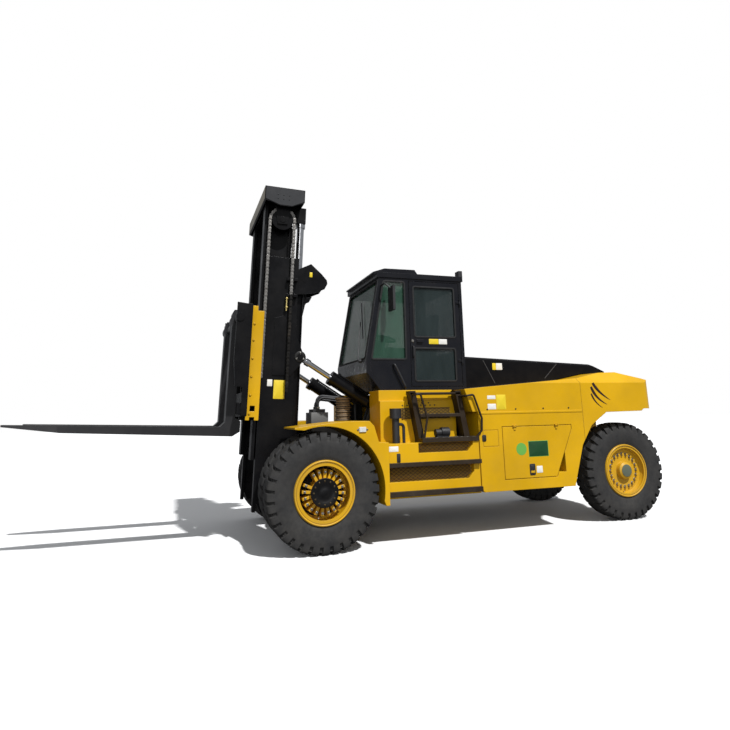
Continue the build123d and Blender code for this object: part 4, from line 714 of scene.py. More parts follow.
@dataclass(frozen=True)
class Lens:
    """Lamp lens: clear or coloured moulded plastic with fine ribs.

    Args:
        name: the material's name.
        colour: the lens's colour.
    """

    name: str
    colour: Triple

    def build(self) -> bpy.types.Material:
        """Draw the material."""
        ink = Sketch(self.name)
        wave = ink.add("ShaderNodeTexWave")
        wave.inputs["Scale"].default_value = 60.0
        ink.link(ink.place, wave.inputs["Vector"])
        ink.colour(ink.blended(wave.outputs[1], scaled(self.colour, 0.8), self.colour))
        ink.roughness(ink.ranged(ink.noise(40.0), 0.3, 0.7, 0.08, 0.2))
        ink.normal(ink.relief(wave.outputs[1], 0.001))
        return ink.material


# Each paint: name, colour, roughness, edge radius, dust, worn colour, wear, coat, sheen, colour of dust
BODY_PAINT = Paint("body yellow paint", (0.66, 0.37, 0.0015), 0.34, 0.012, 0.14, (0.80, 0.56, 0.12), 0.25,
                   0.10, 0.32, (0.20, 0.14, 0.07))
RIM_PAINT = Paint("rim yellow paint", (0.62, 0.34, 0.003), 0.36, 0.004, 0.2, (0.80, 0.60, 0.25), 0.4)
MAST_PAINT = Paint("mast black paint", (0.0022, 0.0022, 0.0030), 0.28, 0.005, 0.02, (0.05, 0.05, 0.055), 0.35,
                   0.0, 0.22)
FRAME_PAINT = Paint("frame black paint", (0.0035, 0.0032, 0.0032), 0.45, 0.008, 0.15, (0.06, 0.055, 0.05),
                    0.35, 0.0, 0.3)
CAB_PAINT = Paint("cab dark paint", (0.0055, 0.006, 0.009), 0.24, 0.008, 0.04, (0.05, 0.055, 0.07), 0.3, 0.10,
                  0.30)
HOOD_PAINT = Paint("hood dark paint", (0.0022, 0.0022, 0.0032), 0.32, 0.008, 0.03, (0.04, 0.04, 0.05), 0.3,
                   0.0, 0.18)
FORK_PAINT = Paint("fork dark paint", (0.014, 0.014, 0.016), 0.36, 0.004, 0.08, (0.20, 0.19, 0.18), 0.7, 0.0,
                   0.4)
# Painted shade: the steps' yellow coloured dark brown, as it looks in shadow, on the step frames and top bars
STEP_SHADE_PAINT = Paint("step brown painted shade", (0.020, 0.011, 0.004), 0.5, 0.004, 0.15, (0.10, 0.08, 0.06), 0.5, 0.0,
                   0.3)
CHAIN_STEEL = BareSteel("oiled chain steel", (0.26, 0.25, 0.235), 0.34)
# Darker copy of the chain steel, for the run below the anchor
DARK_CHAIN_STEEL = BareSteel("dark chain steel", (0.022, 0.021, 0.020), 0.50)
CHROME = BareSteel("chromed rod", (0.62, 0.63, 0.65), 0.12)
BOLT_STEEL = BareSteel("plated bolt steel", (0.38, 0.37, 0.34), 0.38, 1.0, (1, 1, 1))
TYRE_RUBBER = Rubber("tyre rubber", (0.013, 0.013, 0.0135), 0.20)
HOSE_RUBBER = Rubber("hose rubber", (0.016, 0.016, 0.017), 0.12, 0.5)
SEAL_RUBBER = Rubber("window seal rubber", (0.004, 0.004, 0.0045), 0.0, 0.75)
TRIM_PLASTIC = Plastic("black moulded plastic", (0.016, 0.016, 0.018))
CAB_GLASS = Glass("tinted cab glass", (0.026, 0.070, 0.046), 0.56)
DOOR_GLASS = Glass("tinted door glass", (0.012, 0.020, 0.020), 0.74)
SEAT_VINYL = Vinyl("seat vinyl")
COVER_PAINT = Paint("cover black paint", (0.003, 0.003, 0.0035), 0.42, 0.003, 0.04, (0.04, 0.04, 0.04), 0.3,
                    0.0, 0.2)
CAP_PAINT = Paint("hub cap paint", (0.10, 0.12, 0.085), 0.45, 0.003, 0.3, (0.25, 0.25, 0.20), 0.4)
BEAM_PAINT = Paint("beam panel paint", (0.40, 0.36, 0.28), 0.4, 0.003, 0.1, (0.5, 0.47, 0.4), 0.2)
# Painted shade: brown of the yellow paint in shadow, for the recess backs and the lock ring's groove
RECESS_SHADE_PAINT = Paint("recess painted shade", (0.24, 0.135, 0.006), 0.7, 0.004, 0.3, (0.12, 0.08, 0.03), 0.2)
WORN_STEP = Paint("worn tread paint", (0.020, 0.016, 0.012), 0.42, 0.002, 0.2, (0.30, 0.27, 0.23), 0.7)
STRIPE_PAINT = Paint("stripe dark paint", (0.022, 0.008, 0.006), 0.35, 0.001, 0.1, (0.1, 0.08, 0.06), 0.1)
LINE_PAINT = Paint("panel line paint", (0.050, 0.050, 0.054), 0.4, 0.001, 0.1, (0.12, 0.12, 0.12), 0.2)
VALVE_PAINT = Paint("valve grey paint", (0.12, 0.12, 0.118), 0.45, 0.004, 0.2, (0.3, 0.3, 0.29), 0.5)
TAN_PAINT = Paint("accumulator tan coat", (0.26, 0.17, 0.085), 0.6, 0.003, 0.25, (0.42, 0.32, 0.2), 0.4)
LABEL_WHITE = Paint("white label film", (0.80, 0.79, 0.74), 0.4, 0.0005, 0.05, (0.6, 0.6, 0.56), 0.1)
LABEL_YELLOW = Paint("yellow label film", (0.80, 0.60, 0.02), 0.4, 0.0005, 0.05, (0.7, 0.6, 0.2), 0.1)
LABEL_GREEN = Paint("green label film", (0.14, 0.42, 0.07), 0.4, 0.0005, 0.05, (0.3, 0.6, 0.25), 0.1)
LABEL_DARK_GREEN = Paint("dark green label film", (0.008, 0.060, 0.018), 0.35, 0.0005, 0.05, (0.1, 0.2, 0.1),
                         0.1)
# Painted shade: the yellow expanded metal coloured brown, as it looks in shadow
SHADED_MESH_PAINT = Paint("mesh yellow in painted shade", (0.050, 0.028, 0.004), 0.6, 0.002, 0.1, (0.3, 0.2, 0.08), 0.4, 0.0,
                   0.3)
SIDE_GREY = Paint("beam end paint", (0.022, 0.023, 0.026), 0.4, 0.003, 0.05, (0.1, 0.1, 0.1), 0.3, 0.0, 0.3)
BRASS = BareSteel("yellow zinc plating", (0.62, 0.50, 0.20), 0.35, 1.0, (1, 1, 1))
DARK_BOLT = BareSteel("dark bolt steel", (0.12, 0.09, 0.05), 0.45, 1.0, (1, 1, 1))
MIRROR = BareSteel("mirror glass", (0.80, 0.82, 0.84), 0.08, 1.0, (1, 1, 1), (0.6, 0.62, 0.62))
CLEAR_LENS = Lens("clear lamp lens", (0.72, 0.73, 0.70))


class Finishes:
    """Builds each finish once and hands out its material."""

    def __init__(self) -> None:
        """Start with no material."""
        self.made: dict[str, bpy.types.Material] = {}

    def of(self, finish: object) -> bpy.types.Material:
        """Material of a finish."""
        if finish.name not in self.made:
            self.made[finish.name] = finish.build()
        return self.made[finish.name]


FINISHES = Finishes()


def piece(name: str, shell: Shell, body: str, finish: object, sharp: float = 35.0,
          replaces: tuple[str, ...] = ()) -> None:
    """Make an object of a shell, dress it and let it ride on a body.

    Args:
        name: the piece's name.
        shell: its mesh, in the shared frame.
        body: the body it rides on.
        finish: its finish.
        sharp: angle in degrees past which an edge stays sharp.
        replaces: CAD nodes that it stands for.
    """
    mesh = bpy.data.meshes.new(name)
    sizes = np.concatenate([np.full(len(face), face.shape[1]) for face in shell.faces])
    corners = np.concatenate([face.ravel() for face in shell.faces]).astype(np.int32)
    starts = np.concatenate(([0], np.cumsum(sizes)[:-1])).astype(np.int32)
    mesh.vertices.add(len(shell.points))
    mesh.vertices.foreach_set("co", shell.points.astype(np.float32).ravel())
    mesh.loops.add(len(corners))
    mesh.loops.foreach_set("vertex_index", corners)
    mesh.polygons.add(len(sizes))
    mesh.polygons.foreach_set("loop_start", starts)
    mesh.update(calc_edges=True)
    mesh.validate()
    mesh.polygons.foreach_set("use_smooth", np.ones(len(mesh.polygons), bool))
    mesh.set_sharp_from_angle(angle=math.radians(sharp))
    mesh.materials.append(FINISHES.of(finish))
    made = bpy.data.objects.new(name, mesh)
    bpy.context.scene.collection.objects.link(made)
    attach(made, body)
    if replaces:
        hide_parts(*replaces)
    LOG.info("piece %s: %d faces on %s", name, len(sizes), body)


def pair(name: str, shell: Shell, body: str, finish: object) -> None:
    """A piece of the left side and its like on the right, each named for its side.

    Args:
        name: their name, without the side.
        shell: the left one's mesh.
        body: the body they ride on, without the side where each has its own.
        finish: their finish.
    """
    for side, sign in SIDES:
        piece(f"{name}_{side}", shell.on_side(sign), f"{body}_{side}" if body in SIDED else body, finish)


# CAD nodes


@dataclass(frozen=True)
class NodeDress:
    """Finish of each CAD node that stays.

    Args:
        plan: each finish with the nodes that take it.
    """

    plan: tuple[tuple[object, tuple[str, ...]], ...] = (
        (BODY_PAINT, ("counterweight", "side_bodies", "fenders", "side_tanks", "carriage_side_plates",
                      "side_hatch_left", "side_hatch_right")),
        (RIM_PAINT, ("drive_rim_left", "drive_rim_right", "steer_rim_left", "steer_rim_right")),
        (MAST_PAINT, ("outer_mast", "lift_barrels", "hose_guards", "inner_mast", "carriage",
                      "tilt_barrel_left", "tilt_barrel_right")),
        (FORK_PAINT, ("fork_left", "fork_right")),
        (FRAME_PAINT, ("chassis_frame", "drive_axle", "steer_axle", "battery_block", "knuckle_left",
                       "knuckle_right")),
        (CAB_PAINT, ("cab_floor", "cab_front_frame", "cab_left_frame", "cab_right_wall", "cab_rear_wall",
                     "cab_roof", "cab_door")),
        (HOOD_PAINT, ("hood",)),
        (STEP_SHADE_PAINT, ("step_frames",)),
        (CHROME, ("lift_rods", "tilt_rod_left", "tilt_rod_right")),
        (CHAIN_STEEL, ("lift_chains",)),
        (CAB_GLASS, ("cab_glass",)),
        (DOOR_GLASS, ("door_glass",)),
        (TRIM_PLASTIC, ("hydraulic_fittings", "driver_controls", "cab_fittings")),
        (SEAT_VINYL, ("seat",)),
        (CLEAR_LENS, ("fender_lamps",)),
        (TYRE_RUBBER, ("drive_tyres_left", "drive_tyres_right", "steer_tyre_left", "steer_tyre_right")),
    )

    def build(self, nodes: dict[str, bpy.types.Object]) -> None:
        """Give each node its finish."""
        for finish, names in self.plan:
            for name in names:
                if name in nodes:
                    nodes[name].data.materials.clear()
                    nodes[name].data.materials.append(FINISHES.of(finish))
        LOG.info("dressed %d CAD nodes", len(nodes))


# Tyres


@dataclass
class Tyres:
    """All six tyres with their lugs.

    Args:
        drive_face: Y of the outer drive tyre's outer face.
        steer_face: Y of the steered tyre's outer face.
        twin_gap: between the twin drive tyres.
        width: of one tyre.
        bead: radius at the rim.
        lugs: lugs round one shoulder.
        depth: of the grooves between the lugs.
    """

    drive_face: float = 1.573
    steer_face: float = 1.290
    twin_gap: float = 0.050
    width: float = 0.365
    bead: float = 0.357
    lugs: int = 32
    depth: float = 0.034

    def section(self) -> tuple[np.ndarray, np.ndarray]:
        """Cross section from the inner bead over the crown to the outer bead.

        Returns:
            Place across, from -1 to 1 of the half width, and radius, at each station.
        """
        # Share of the half width, radius: one side from the bead to the middle of the crown
        side = np.array((
            (0.800, 0.357), (0.835, 0.366), (0.870, 0.384), (0.885, 0.398), (0.900, 0.402), (0.930, 0.425),
            (0.965, 0.460), (0.990, 0.497), (1.000, 0.530), (0.995, 0.560), (0.975, 0.590), (0.965, 0.600),
            (0.962, 0.612), (0.945, 0.634), (0.925, 0.652), (0.900, 0.668), (0.870, 0.680), (0.820, 0.690),
            (0.700, 0.696), (0.540, 0.6985), (0.360, 0.6995), (0.180, 0.700), (0.000, 0.700),
        ))
        other = side[:-1][::-1] * np.array((-1.0, 1.0))
        whole = np.vstack((side, other))
        return whole[:, 0], whole[:, 1]

    def one(self, y: float) -> Shell:
        """One tyre about the wheel axis, its middle at y.

        A point at an angle a and a place s across is at the section's radius, less the groove's depth
        where it lies in a groove. A groove follows the angle a + slant(s), so that the grid's own lines
        are its edges. The two shoulders are half a pitch apart, and the slant carries the one over to
        the other across the crown.
        """
        across, radius = self.section()
        pitch = 2 * math.pi / self.lugs
        # Place inside one pitch, share of the groove's depth there
        teeth = np.array(((0.00, 1.0), (0.10, 1.0), (0.20, 1.0), (0.30, 1.0), (0.335, 0.0), (0.50, 0.0),
                          (0.67, 0.0), (0.82, 0.0), (0.965, 0.0)))
        angle = (np.arange(self.lugs)[:, None] * pitch + teeth[:, 0] * pitch).ravel()
        cut = np.tile(teeth[:, 1], self.lugs)
        side = np.clip(across / 0.28, -1, 1)
        slant = pitch * (0.25 * side + 0.38 * np.sign(across) * np.clip(np.abs(across) - 0.28, 0, 1))
        shoulder = np.interp(np.abs(across), (0.0, 0.22, 0.30, 1.0), (0.0, 0.0, 1.0, 1.0))
        sidewall = np.clip((radius - 0.598) / 0.03, 0, 1)
        groove = self.depth * cut[:, None] * (shoulder * sidewall)[None]
        turn = angle[:, None] + slant[None]
        reach = radius[None] - groove * np.clip((radius[None] - 0.56) / 0.13, 0.35, 1.0)
        pull = 1.0 - 0.10 * cut[:, None] * np.where(np.abs(across) > 0.84, sidewall, 0.0)[None]
        lateral = across[None] * self.width / 2 * pull + y
        lateral = np.broadcast_to(lateral, reach.shape)
        points = np.stack((reach * np.sin(turn), lateral, reach * np.cos(turn)), -1)
        inner = self.bead - 0.002
        lid = np.stack([np.column_stack((inner * np.sin(angle),
                                         np.full(len(angle), y - share * self.width / 2),
                                         inner * np.cos(angle))) for share in (0.74, -0.74)], 1)
        rings = np.concatenate((points, lid), 1)
        faces = grid_faces(rings.shape[0], rings.shape[1], True, True)
        return Shell(rings.reshape(-1, 3), [faces[:, ::-1]])

    def build(self) -> None:
        """Drive twins and steered tyres on both sides."""
        drive_outer = self.drive_face - self.width / 2
        drive_inner = drive_outer - self.width - self.twin_gap
        steer = self.steer_face - self.width / 2
        for name, sign in SIDES:
            twins = joined(self.one(sign * drive_outer), self.one(sign * drive_inner))
            single = self.one(sign * steer)
            for kind, shell, x, node in (("drive", twins, 0.0, "tyres"), ("steer", single, STEER_X, "tyre")):
                piece(f"{kind}_tread_{name}", shell.moved(ahead(x), 0, AXLE_Z), f"{kind}_wheel_{name}",
                      TYRE_RUBBER, 28.0, (f"{kind}_{node}_{name}",))


# Wheels


@dataclass
class WheelTrim:
    """Hub covers, wedge bolts, nuts, hub caps, rim beads and valve stems.

    Args:
        cover: radius of the drive hub's cover.
        cover_ring: radius of the circle of the cover's bolts.
        ring: radius of the circle of the wedge bolts, and of the steered wheels' nuts.
        lip: radius of the rolled bead on a rim's lip.
        groove: outer radius of the groove of a rim's lock ring.
    """

    cover: float = 0.171
    cover_ring: float = 0.135
    ring: float = 0.235
    lip: float = 0.3635
    groove: float = 0.3475

    def drive(self) -> None:
        """Black cover with its bolts, a black ring of painted shade at the back of the dish, and a bolt on
        each wedge.
        """
        rim = self.cover
        profile = ((rim, 0), (rim, 0.003), (rim - 0.005, 0.007), (0.112, 0.007), (0.106, 0.003),
                   (0.050, 0.003),
                   (0.045, 0.006))
        pair("hub_cover", turned_piece(profile, 0.0, 1.5435, AXLE_Z, 48), "drive_wheel", COVER_PAINT)
        heads = bolt_ring(0.0, AXLE_Z, self.cover_ring, np.arange(12) * math.pi / 6, 1.5505, 0.009, 0.008)
        pair("cover_bolts", heads, "drive_wheel", DARK_BOLT)
        wedges = np.radians(40.0 - np.arange(1, 20) * 18.0)
        nuts = bolt_ring(0.0, AXLE_Z, self.ring, wedges, 1.4995, 0.0125, 0.022)
        pair("wedge_bolts", nuts, "drive_wheel", BOLT_STEEL)
        # Painted shade: a black ring at the back of the dish, where the recess lies in shadow
        profile = ((0.292, 0), (0.292, 0.004), (0.158, 0.004), (0.158, 0))
        dish = turned_piece(profile, 0.0, 1.3135, AXLE_Z, 64, True)
        pair("dish_back_shade", dish, "drive_wheel", COVER_PAINT)

    def steer(self) -> None:
        """Bright nuts on the studs and the grey-green hub cap."""
        nuts = bolt_ring(STEER_X, AXLE_Z, self.ring, np.arange(20) * math.pi / 10, 1.2085, 0.0185, 0.024)
        pair("wheel_nuts", nuts, "steer_wheel", BOLT_STEEL)
        profile = ((0.088, 0), (0.088, 0.004), (0.080, 0.0065), (0.030, 0.0070))
        cap = turned_piece(profile, STEER_X, 1.2832, AXLE_Z, 40)
        pair("hub_cap", cap, "steer_wheel", CAP_PAINT)

    def rim(self, kind: str, x: float, lip: float, stem: float) -> None:
        """Rolled bead of a rim's lip, a thin dark ring of painted shade in the groove of its lock ring, and
        its leaning valve stem.

        Args:
            kind: drive or steer.
            x: the wheel's middle, ahead of the drive axle.
            lip: Y of the lip.
            stem: Y of the valve stem's middle.
        """
        section = circle(0.0095, 12) * np.array((1.0, 0.9)) + np.array((self.lip, 0.001))
        bead = turned_piece(section, x, lip, AXLE_Z, 72, True)
        pair(f"{kind}_lip", bead, f"{kind}_wheel", RIM_PAINT)
        # Painted shade: a thin dark-brown ring lying in the lock ring's groove
        inner = self.groove - 0.004
        profile = ((self.groove, 0), (self.groove, 0.0012), (inner, 0.0012), (inner, 0))
        groove = turned_piece(profile, x, lip + 0.0002, AXLE_Z, 72, True)
        pair(f"{kind}_lock_ring", groove, f"{kind}_wheel", RECESS_SHADE_PAINT)
        # Way out and rise from the wheel's middle
        route = ((-0.06, -0.315), (-0.02, -0.305), (0.02, -0.290))
        path = np.array([(ahead(x + 0.06), stem + out, AXLE_Z + rise) for out, rise in route])
        valve = swept(path, circle(0.005, 8), (1, 0, 0))
        pair(f"{kind}_valve", valve, f"{kind}_wheel", BOLT_STEEL)

    def build(self) -> None:
        """Trim all wheels."""
        self.drive()
        self.rim("drive", 0.0, 1.5612, 1.46)
        self.steer()
        self.rim("steer", STEER_X, 1.2782, 1.24)


# Mast


@dataclass
class LeafChains:
    """Both lift chains, link by link over the sheaves.

    Args:
        pitch: from pin to pin.
        depth: height of a link plate.
        sheave: x ahead of the drive axle and height of the sheave's middle, upright.
        line: radius of the chain's line round the sheave.
        front_end: height of the front run's lower end.
        rear_end: height of the rear run's lower end.
        across: Y of the left chain's middle.
        anchor: height of the rear run's anchor, below which the chain is drawn in darker steel.
    """

    pitch: float = 0.0508
    depth: float = 0.044
    sheave: tuple[float, float] = (0.560, 4.330)
    line: float = 0.175
    front_end: float = 2.102
    rear_end: float = 1.912
    across: float = 0.755
    anchor: float = 3.240

    def pins(self) -> np.ndarray:
        """Places of the pins: up the front run, half a turn over the sheave and down the rear run.

        At a distance s along the chain, a point of the turn has the angle a = (s - front run) / line and
        lies at (sheave + line cos a, sheave + line sin a).
        """
        rise = self.sheave[1] - self.front_end
        turn = math.pi * self.line
        whole = rise + turn + self.sheave[1] - self.rear_end
        s = np.arange(0, whole, self.pitch)
        angle = np.clip((s - rise) / self.line, 0, math.pi)
        x = self.sheave[0] + self.line * np.cos(angle)
        z = self.sheave[1] + self.line * np.sin(angle)
        z = z - np.clip(rise - s, 0, None) - np.clip(s - rise - turn, 0, None)
        return np.column_stack((x, z))

    def plate(self) -> Shell:
        """One waisted link plate in the X and Z plane, 5 mm thick, its long axis along X."""
        angle = np.linspace(-math.pi / 2, math.pi / 2, 5)
        half = self.depth / 2
        right = np.column_stack((self.pitch / 2 + half * 0.62 * np.cos(angle), half * np.sin(angle)))
        outline = np.vstack((right, ((0.0, half * 0.72),), -right, ((0.0, -half * 0.72),)))
        return upright(outline, 0.0025, -0.0025)

    def one(self, lower: bool) -> Shell:
        """The left chain down to its anchor, or the darker run that hangs below it.

        Args:
            lower: whether the run below the anchor is meant.

        Returns:
            Link plates, in turn five and four wide, and the pins through them.
        """
        pins = self.pins()
        middle = (pins[:-1] + pins[1:]) / 2
        step = pins[1:] - pins[:-1]
        cos, sin = (step / np.linalg.norm(step, axis=1, keepdims=True)).T
        turns = np.zeros((len(middle), 3, 3))
        turns[:, 0, 0], turns[:, 0, 2], turns[:, 1, 1] = cos, -sin, 1.0
        turns[:, 2, 0], turns[:, 2, 2] = sin, cos
        rear = pins[:-1, 0] < self.sheave[0] - self.line + 0.001
        chosen = (rear & (middle[:, 1] < self.anchor)) == lower
        odd = np.arange(len(middle)) % 2 == 1
        shells = []
        for links, offsets in ((~odd & chosen, (-0.0245, -0.0123, 0.0, 0.0123, 0.0245)),
                               (odd & chosen, (-0.0184, -0.0061, 0.0061, 0.0184))):
            for offset in offsets:
                origins = self.placed(middle[links], self.across + offset)
                shells.append(self.plate().copies(origins, turns[links]))
        rod = spun(((0.0085, 0), (0.0085, 0.0585)), 8).turned(facing(Axis.LEFT, 1.0))
        return joined(*shells, rod.copies(self.placed(pins[:-1][chosen], self.across - 0.02925)))

    @staticmethod
    def placed(points: np.ndarray, y: float) -> np.ndarray:
        """Points of the X and Z plane at a Y in the shared frame."""
        return np.column_stack((points[:, 0] + DRIVE_X, np.full(len(points), y), points[:, 1]))

    def build(self) -> None:
        """Both chains in place of the plain bands."""
        for name, lower, finish in (("leaf_chains", False, CHAIN_STEEL),
                                    ("hanging_chains", True, DARK_CHAIN_STEEL)):
            piece(name, self.one(lower).both().leaned(), "inner_mast", finish, 40.0,
                  ("lift_chains",))


@dataclass
class MastTrim:
    """Pin retainers, hoses, bolts and blank labels of the mast.

    Args:
        rail: Y of the outer mast's side face, where the labels sit.
        beam_side: Y of the top beam's end face.
        clips: heights of the hose clips.
    """

    rail: float = 0.7003
    beam_side: float = 0.9003
    clips: tuple[float, ...] = (1.300, 2.020, 2.700)

    def retainers(self) -> None:
        """Round plates with three bolts round the tilt pins, at the mast and at the frame."""
        angle = np.radians((90.0, -30.0, 210.0))
        profile = ((0.078, 0), (0.078, 0.006), (0.074, 0.008), (0.0375, 0.008), (0.0375, 0))
        for end, x, z, y, body in (("mast", 0.210, 2.400, 0.7153, "mast"),
                                   ("base", -0.930, 1.710, 0.7393, "chassis")):
            ring = turned_piece(profile, x, y, z, 32, True)
            heads = bolt_ring(x, z, 0.057, angle, y + 0.008, 0.0095, 0.010)
            if end == "mast":
                ring, heads = ring.leaned(), heads.leaned()
            pair(f"{end}_retainer", ring, body, FRAME_PAINT)
            pair(f"{end}_retainer_bolts", heads, body, BOLT_STEEL)

    def hoses(self) -> None:
        """Two hoses a side, over the hose drum and down behind the outer mast, with their clips."""
        angle = np.linspace(math.pi, 0, 7)
        over = [(-0.010 + 0.104 * math.cos(a), 3.500 + 0.104 * math.sin(a)) for a in angle]
        # x ahead of the drive axle, height
        down = [(0.110, 3.250), (0.190, 2.800), (0.235, 2.300), (0.245, 1.600), (0.262, 1.050),
                (0.325, 0.860)]
        route = [(-0.114, 3.420)] + over + down
        shells = [swept(smooth_path([(ahead(x), y, z) for x, z in route], 90), circle(0.012, 10))
                  for y in (0.376, 0.404)]
        for z in self.clips:
            x = float(np.interp(z, (1.05, 1.6, 2.3, 2.8), (0.262, 0.245, 0.235, 0.190)))
            shells.append(slab(0.050, 0.075, 0.030, 0.008, 0.003).moved(ahead(x), 0.390, z))
        piece("mast_hoses", joined(*shells).both().leaned(), "mast", HOSE_RUBBER)

    def labels(self) -> None:
        """Blank yellow and white plates on the left rail, as in the photograph."""
        for name, place, finish in (("yellow", (0.475, 1.950, 0.150, 0.250), LABEL_YELLOW),
                                    ("white", (0.605, 2.035, 0.068, 0.090), LABEL_WHITE)):
            piece(f"rail_label_{name}", plaque(*place, self.rail).leaned(), "mast", finish)

    def beam(self) -> None:
        """Front panel and end plates of the top beam, and the bolts of the yellow side plates."""
        front = slab(0.186, 1.78, 0.0015, 0.004, 0.0006).turned(facing(Axis.AHEAD, 1.0))
        piece("beam_front_panel", front.moved(ahead(0.8451), 0, 4.6725).leaned(), "inner_mast", BEAM_PAINT)
        places = [(0.868, z) for z in (1.62, 1.86, 2.10, 2.34, 2.58, 2.80)]
        heads = side_bolts(places, 0.8252, 0.012, 0.011)
        pair("side_plate_bolts", heads.leaned(), "carriage", BODY_PAINT)
        outline = np.array(((0.632, 4.512), (0.450, 4.512), (0.287, 4.592), (0.287, 4.758), (0.833, 4.758),
                            (0.833, 4.583)))
        plate = upright(outline, self.beam_side, self.beam_side + 0.002).moved(DRIVE_X)
        dots = side_bolts([(x, z) for x in (0.50, 0.58, 0.66) for z in (4.60, 4.66)], self.beam_side + 0.002,
                          0.007, 0.006)
        piece("beam_end_plates", joined(plate, dots).both().leaned(), "inner_mast", SIDE_GREY)

    def anchors(self) -> None:
        """Threaded studs with two nuts that hold the chains, and the hose guard's blank label."""
        stud = spun(((0.0125, 3.020), (0.0125, 3.218)), 12)
        nut = spun(((0.020, 0.0), (0.023, 0.003), (0.023, 0.020), (0.020, 0.023)), 6)
        anchor = joined(stud, nut.moved(0, 0, 3.185), nut.moved(0, 0, 3.060)).moved(ahead(0.440), 0.755, 0)
        piece("chain_anchors", anchor.both().leaned(), "mast", BRASS)
        label = plaque(0.096, 3.585, 0.040, 0.072, 0.6853)
        piece("guard_label", label.leaned(), "mast", LABEL_YELLOW)

    def build(self) -> None:
        """Everything on the mast."""
        self.retainers()
        self.hoses()
        self.labels()
        self.beam()
        self.anchors()


# Cab


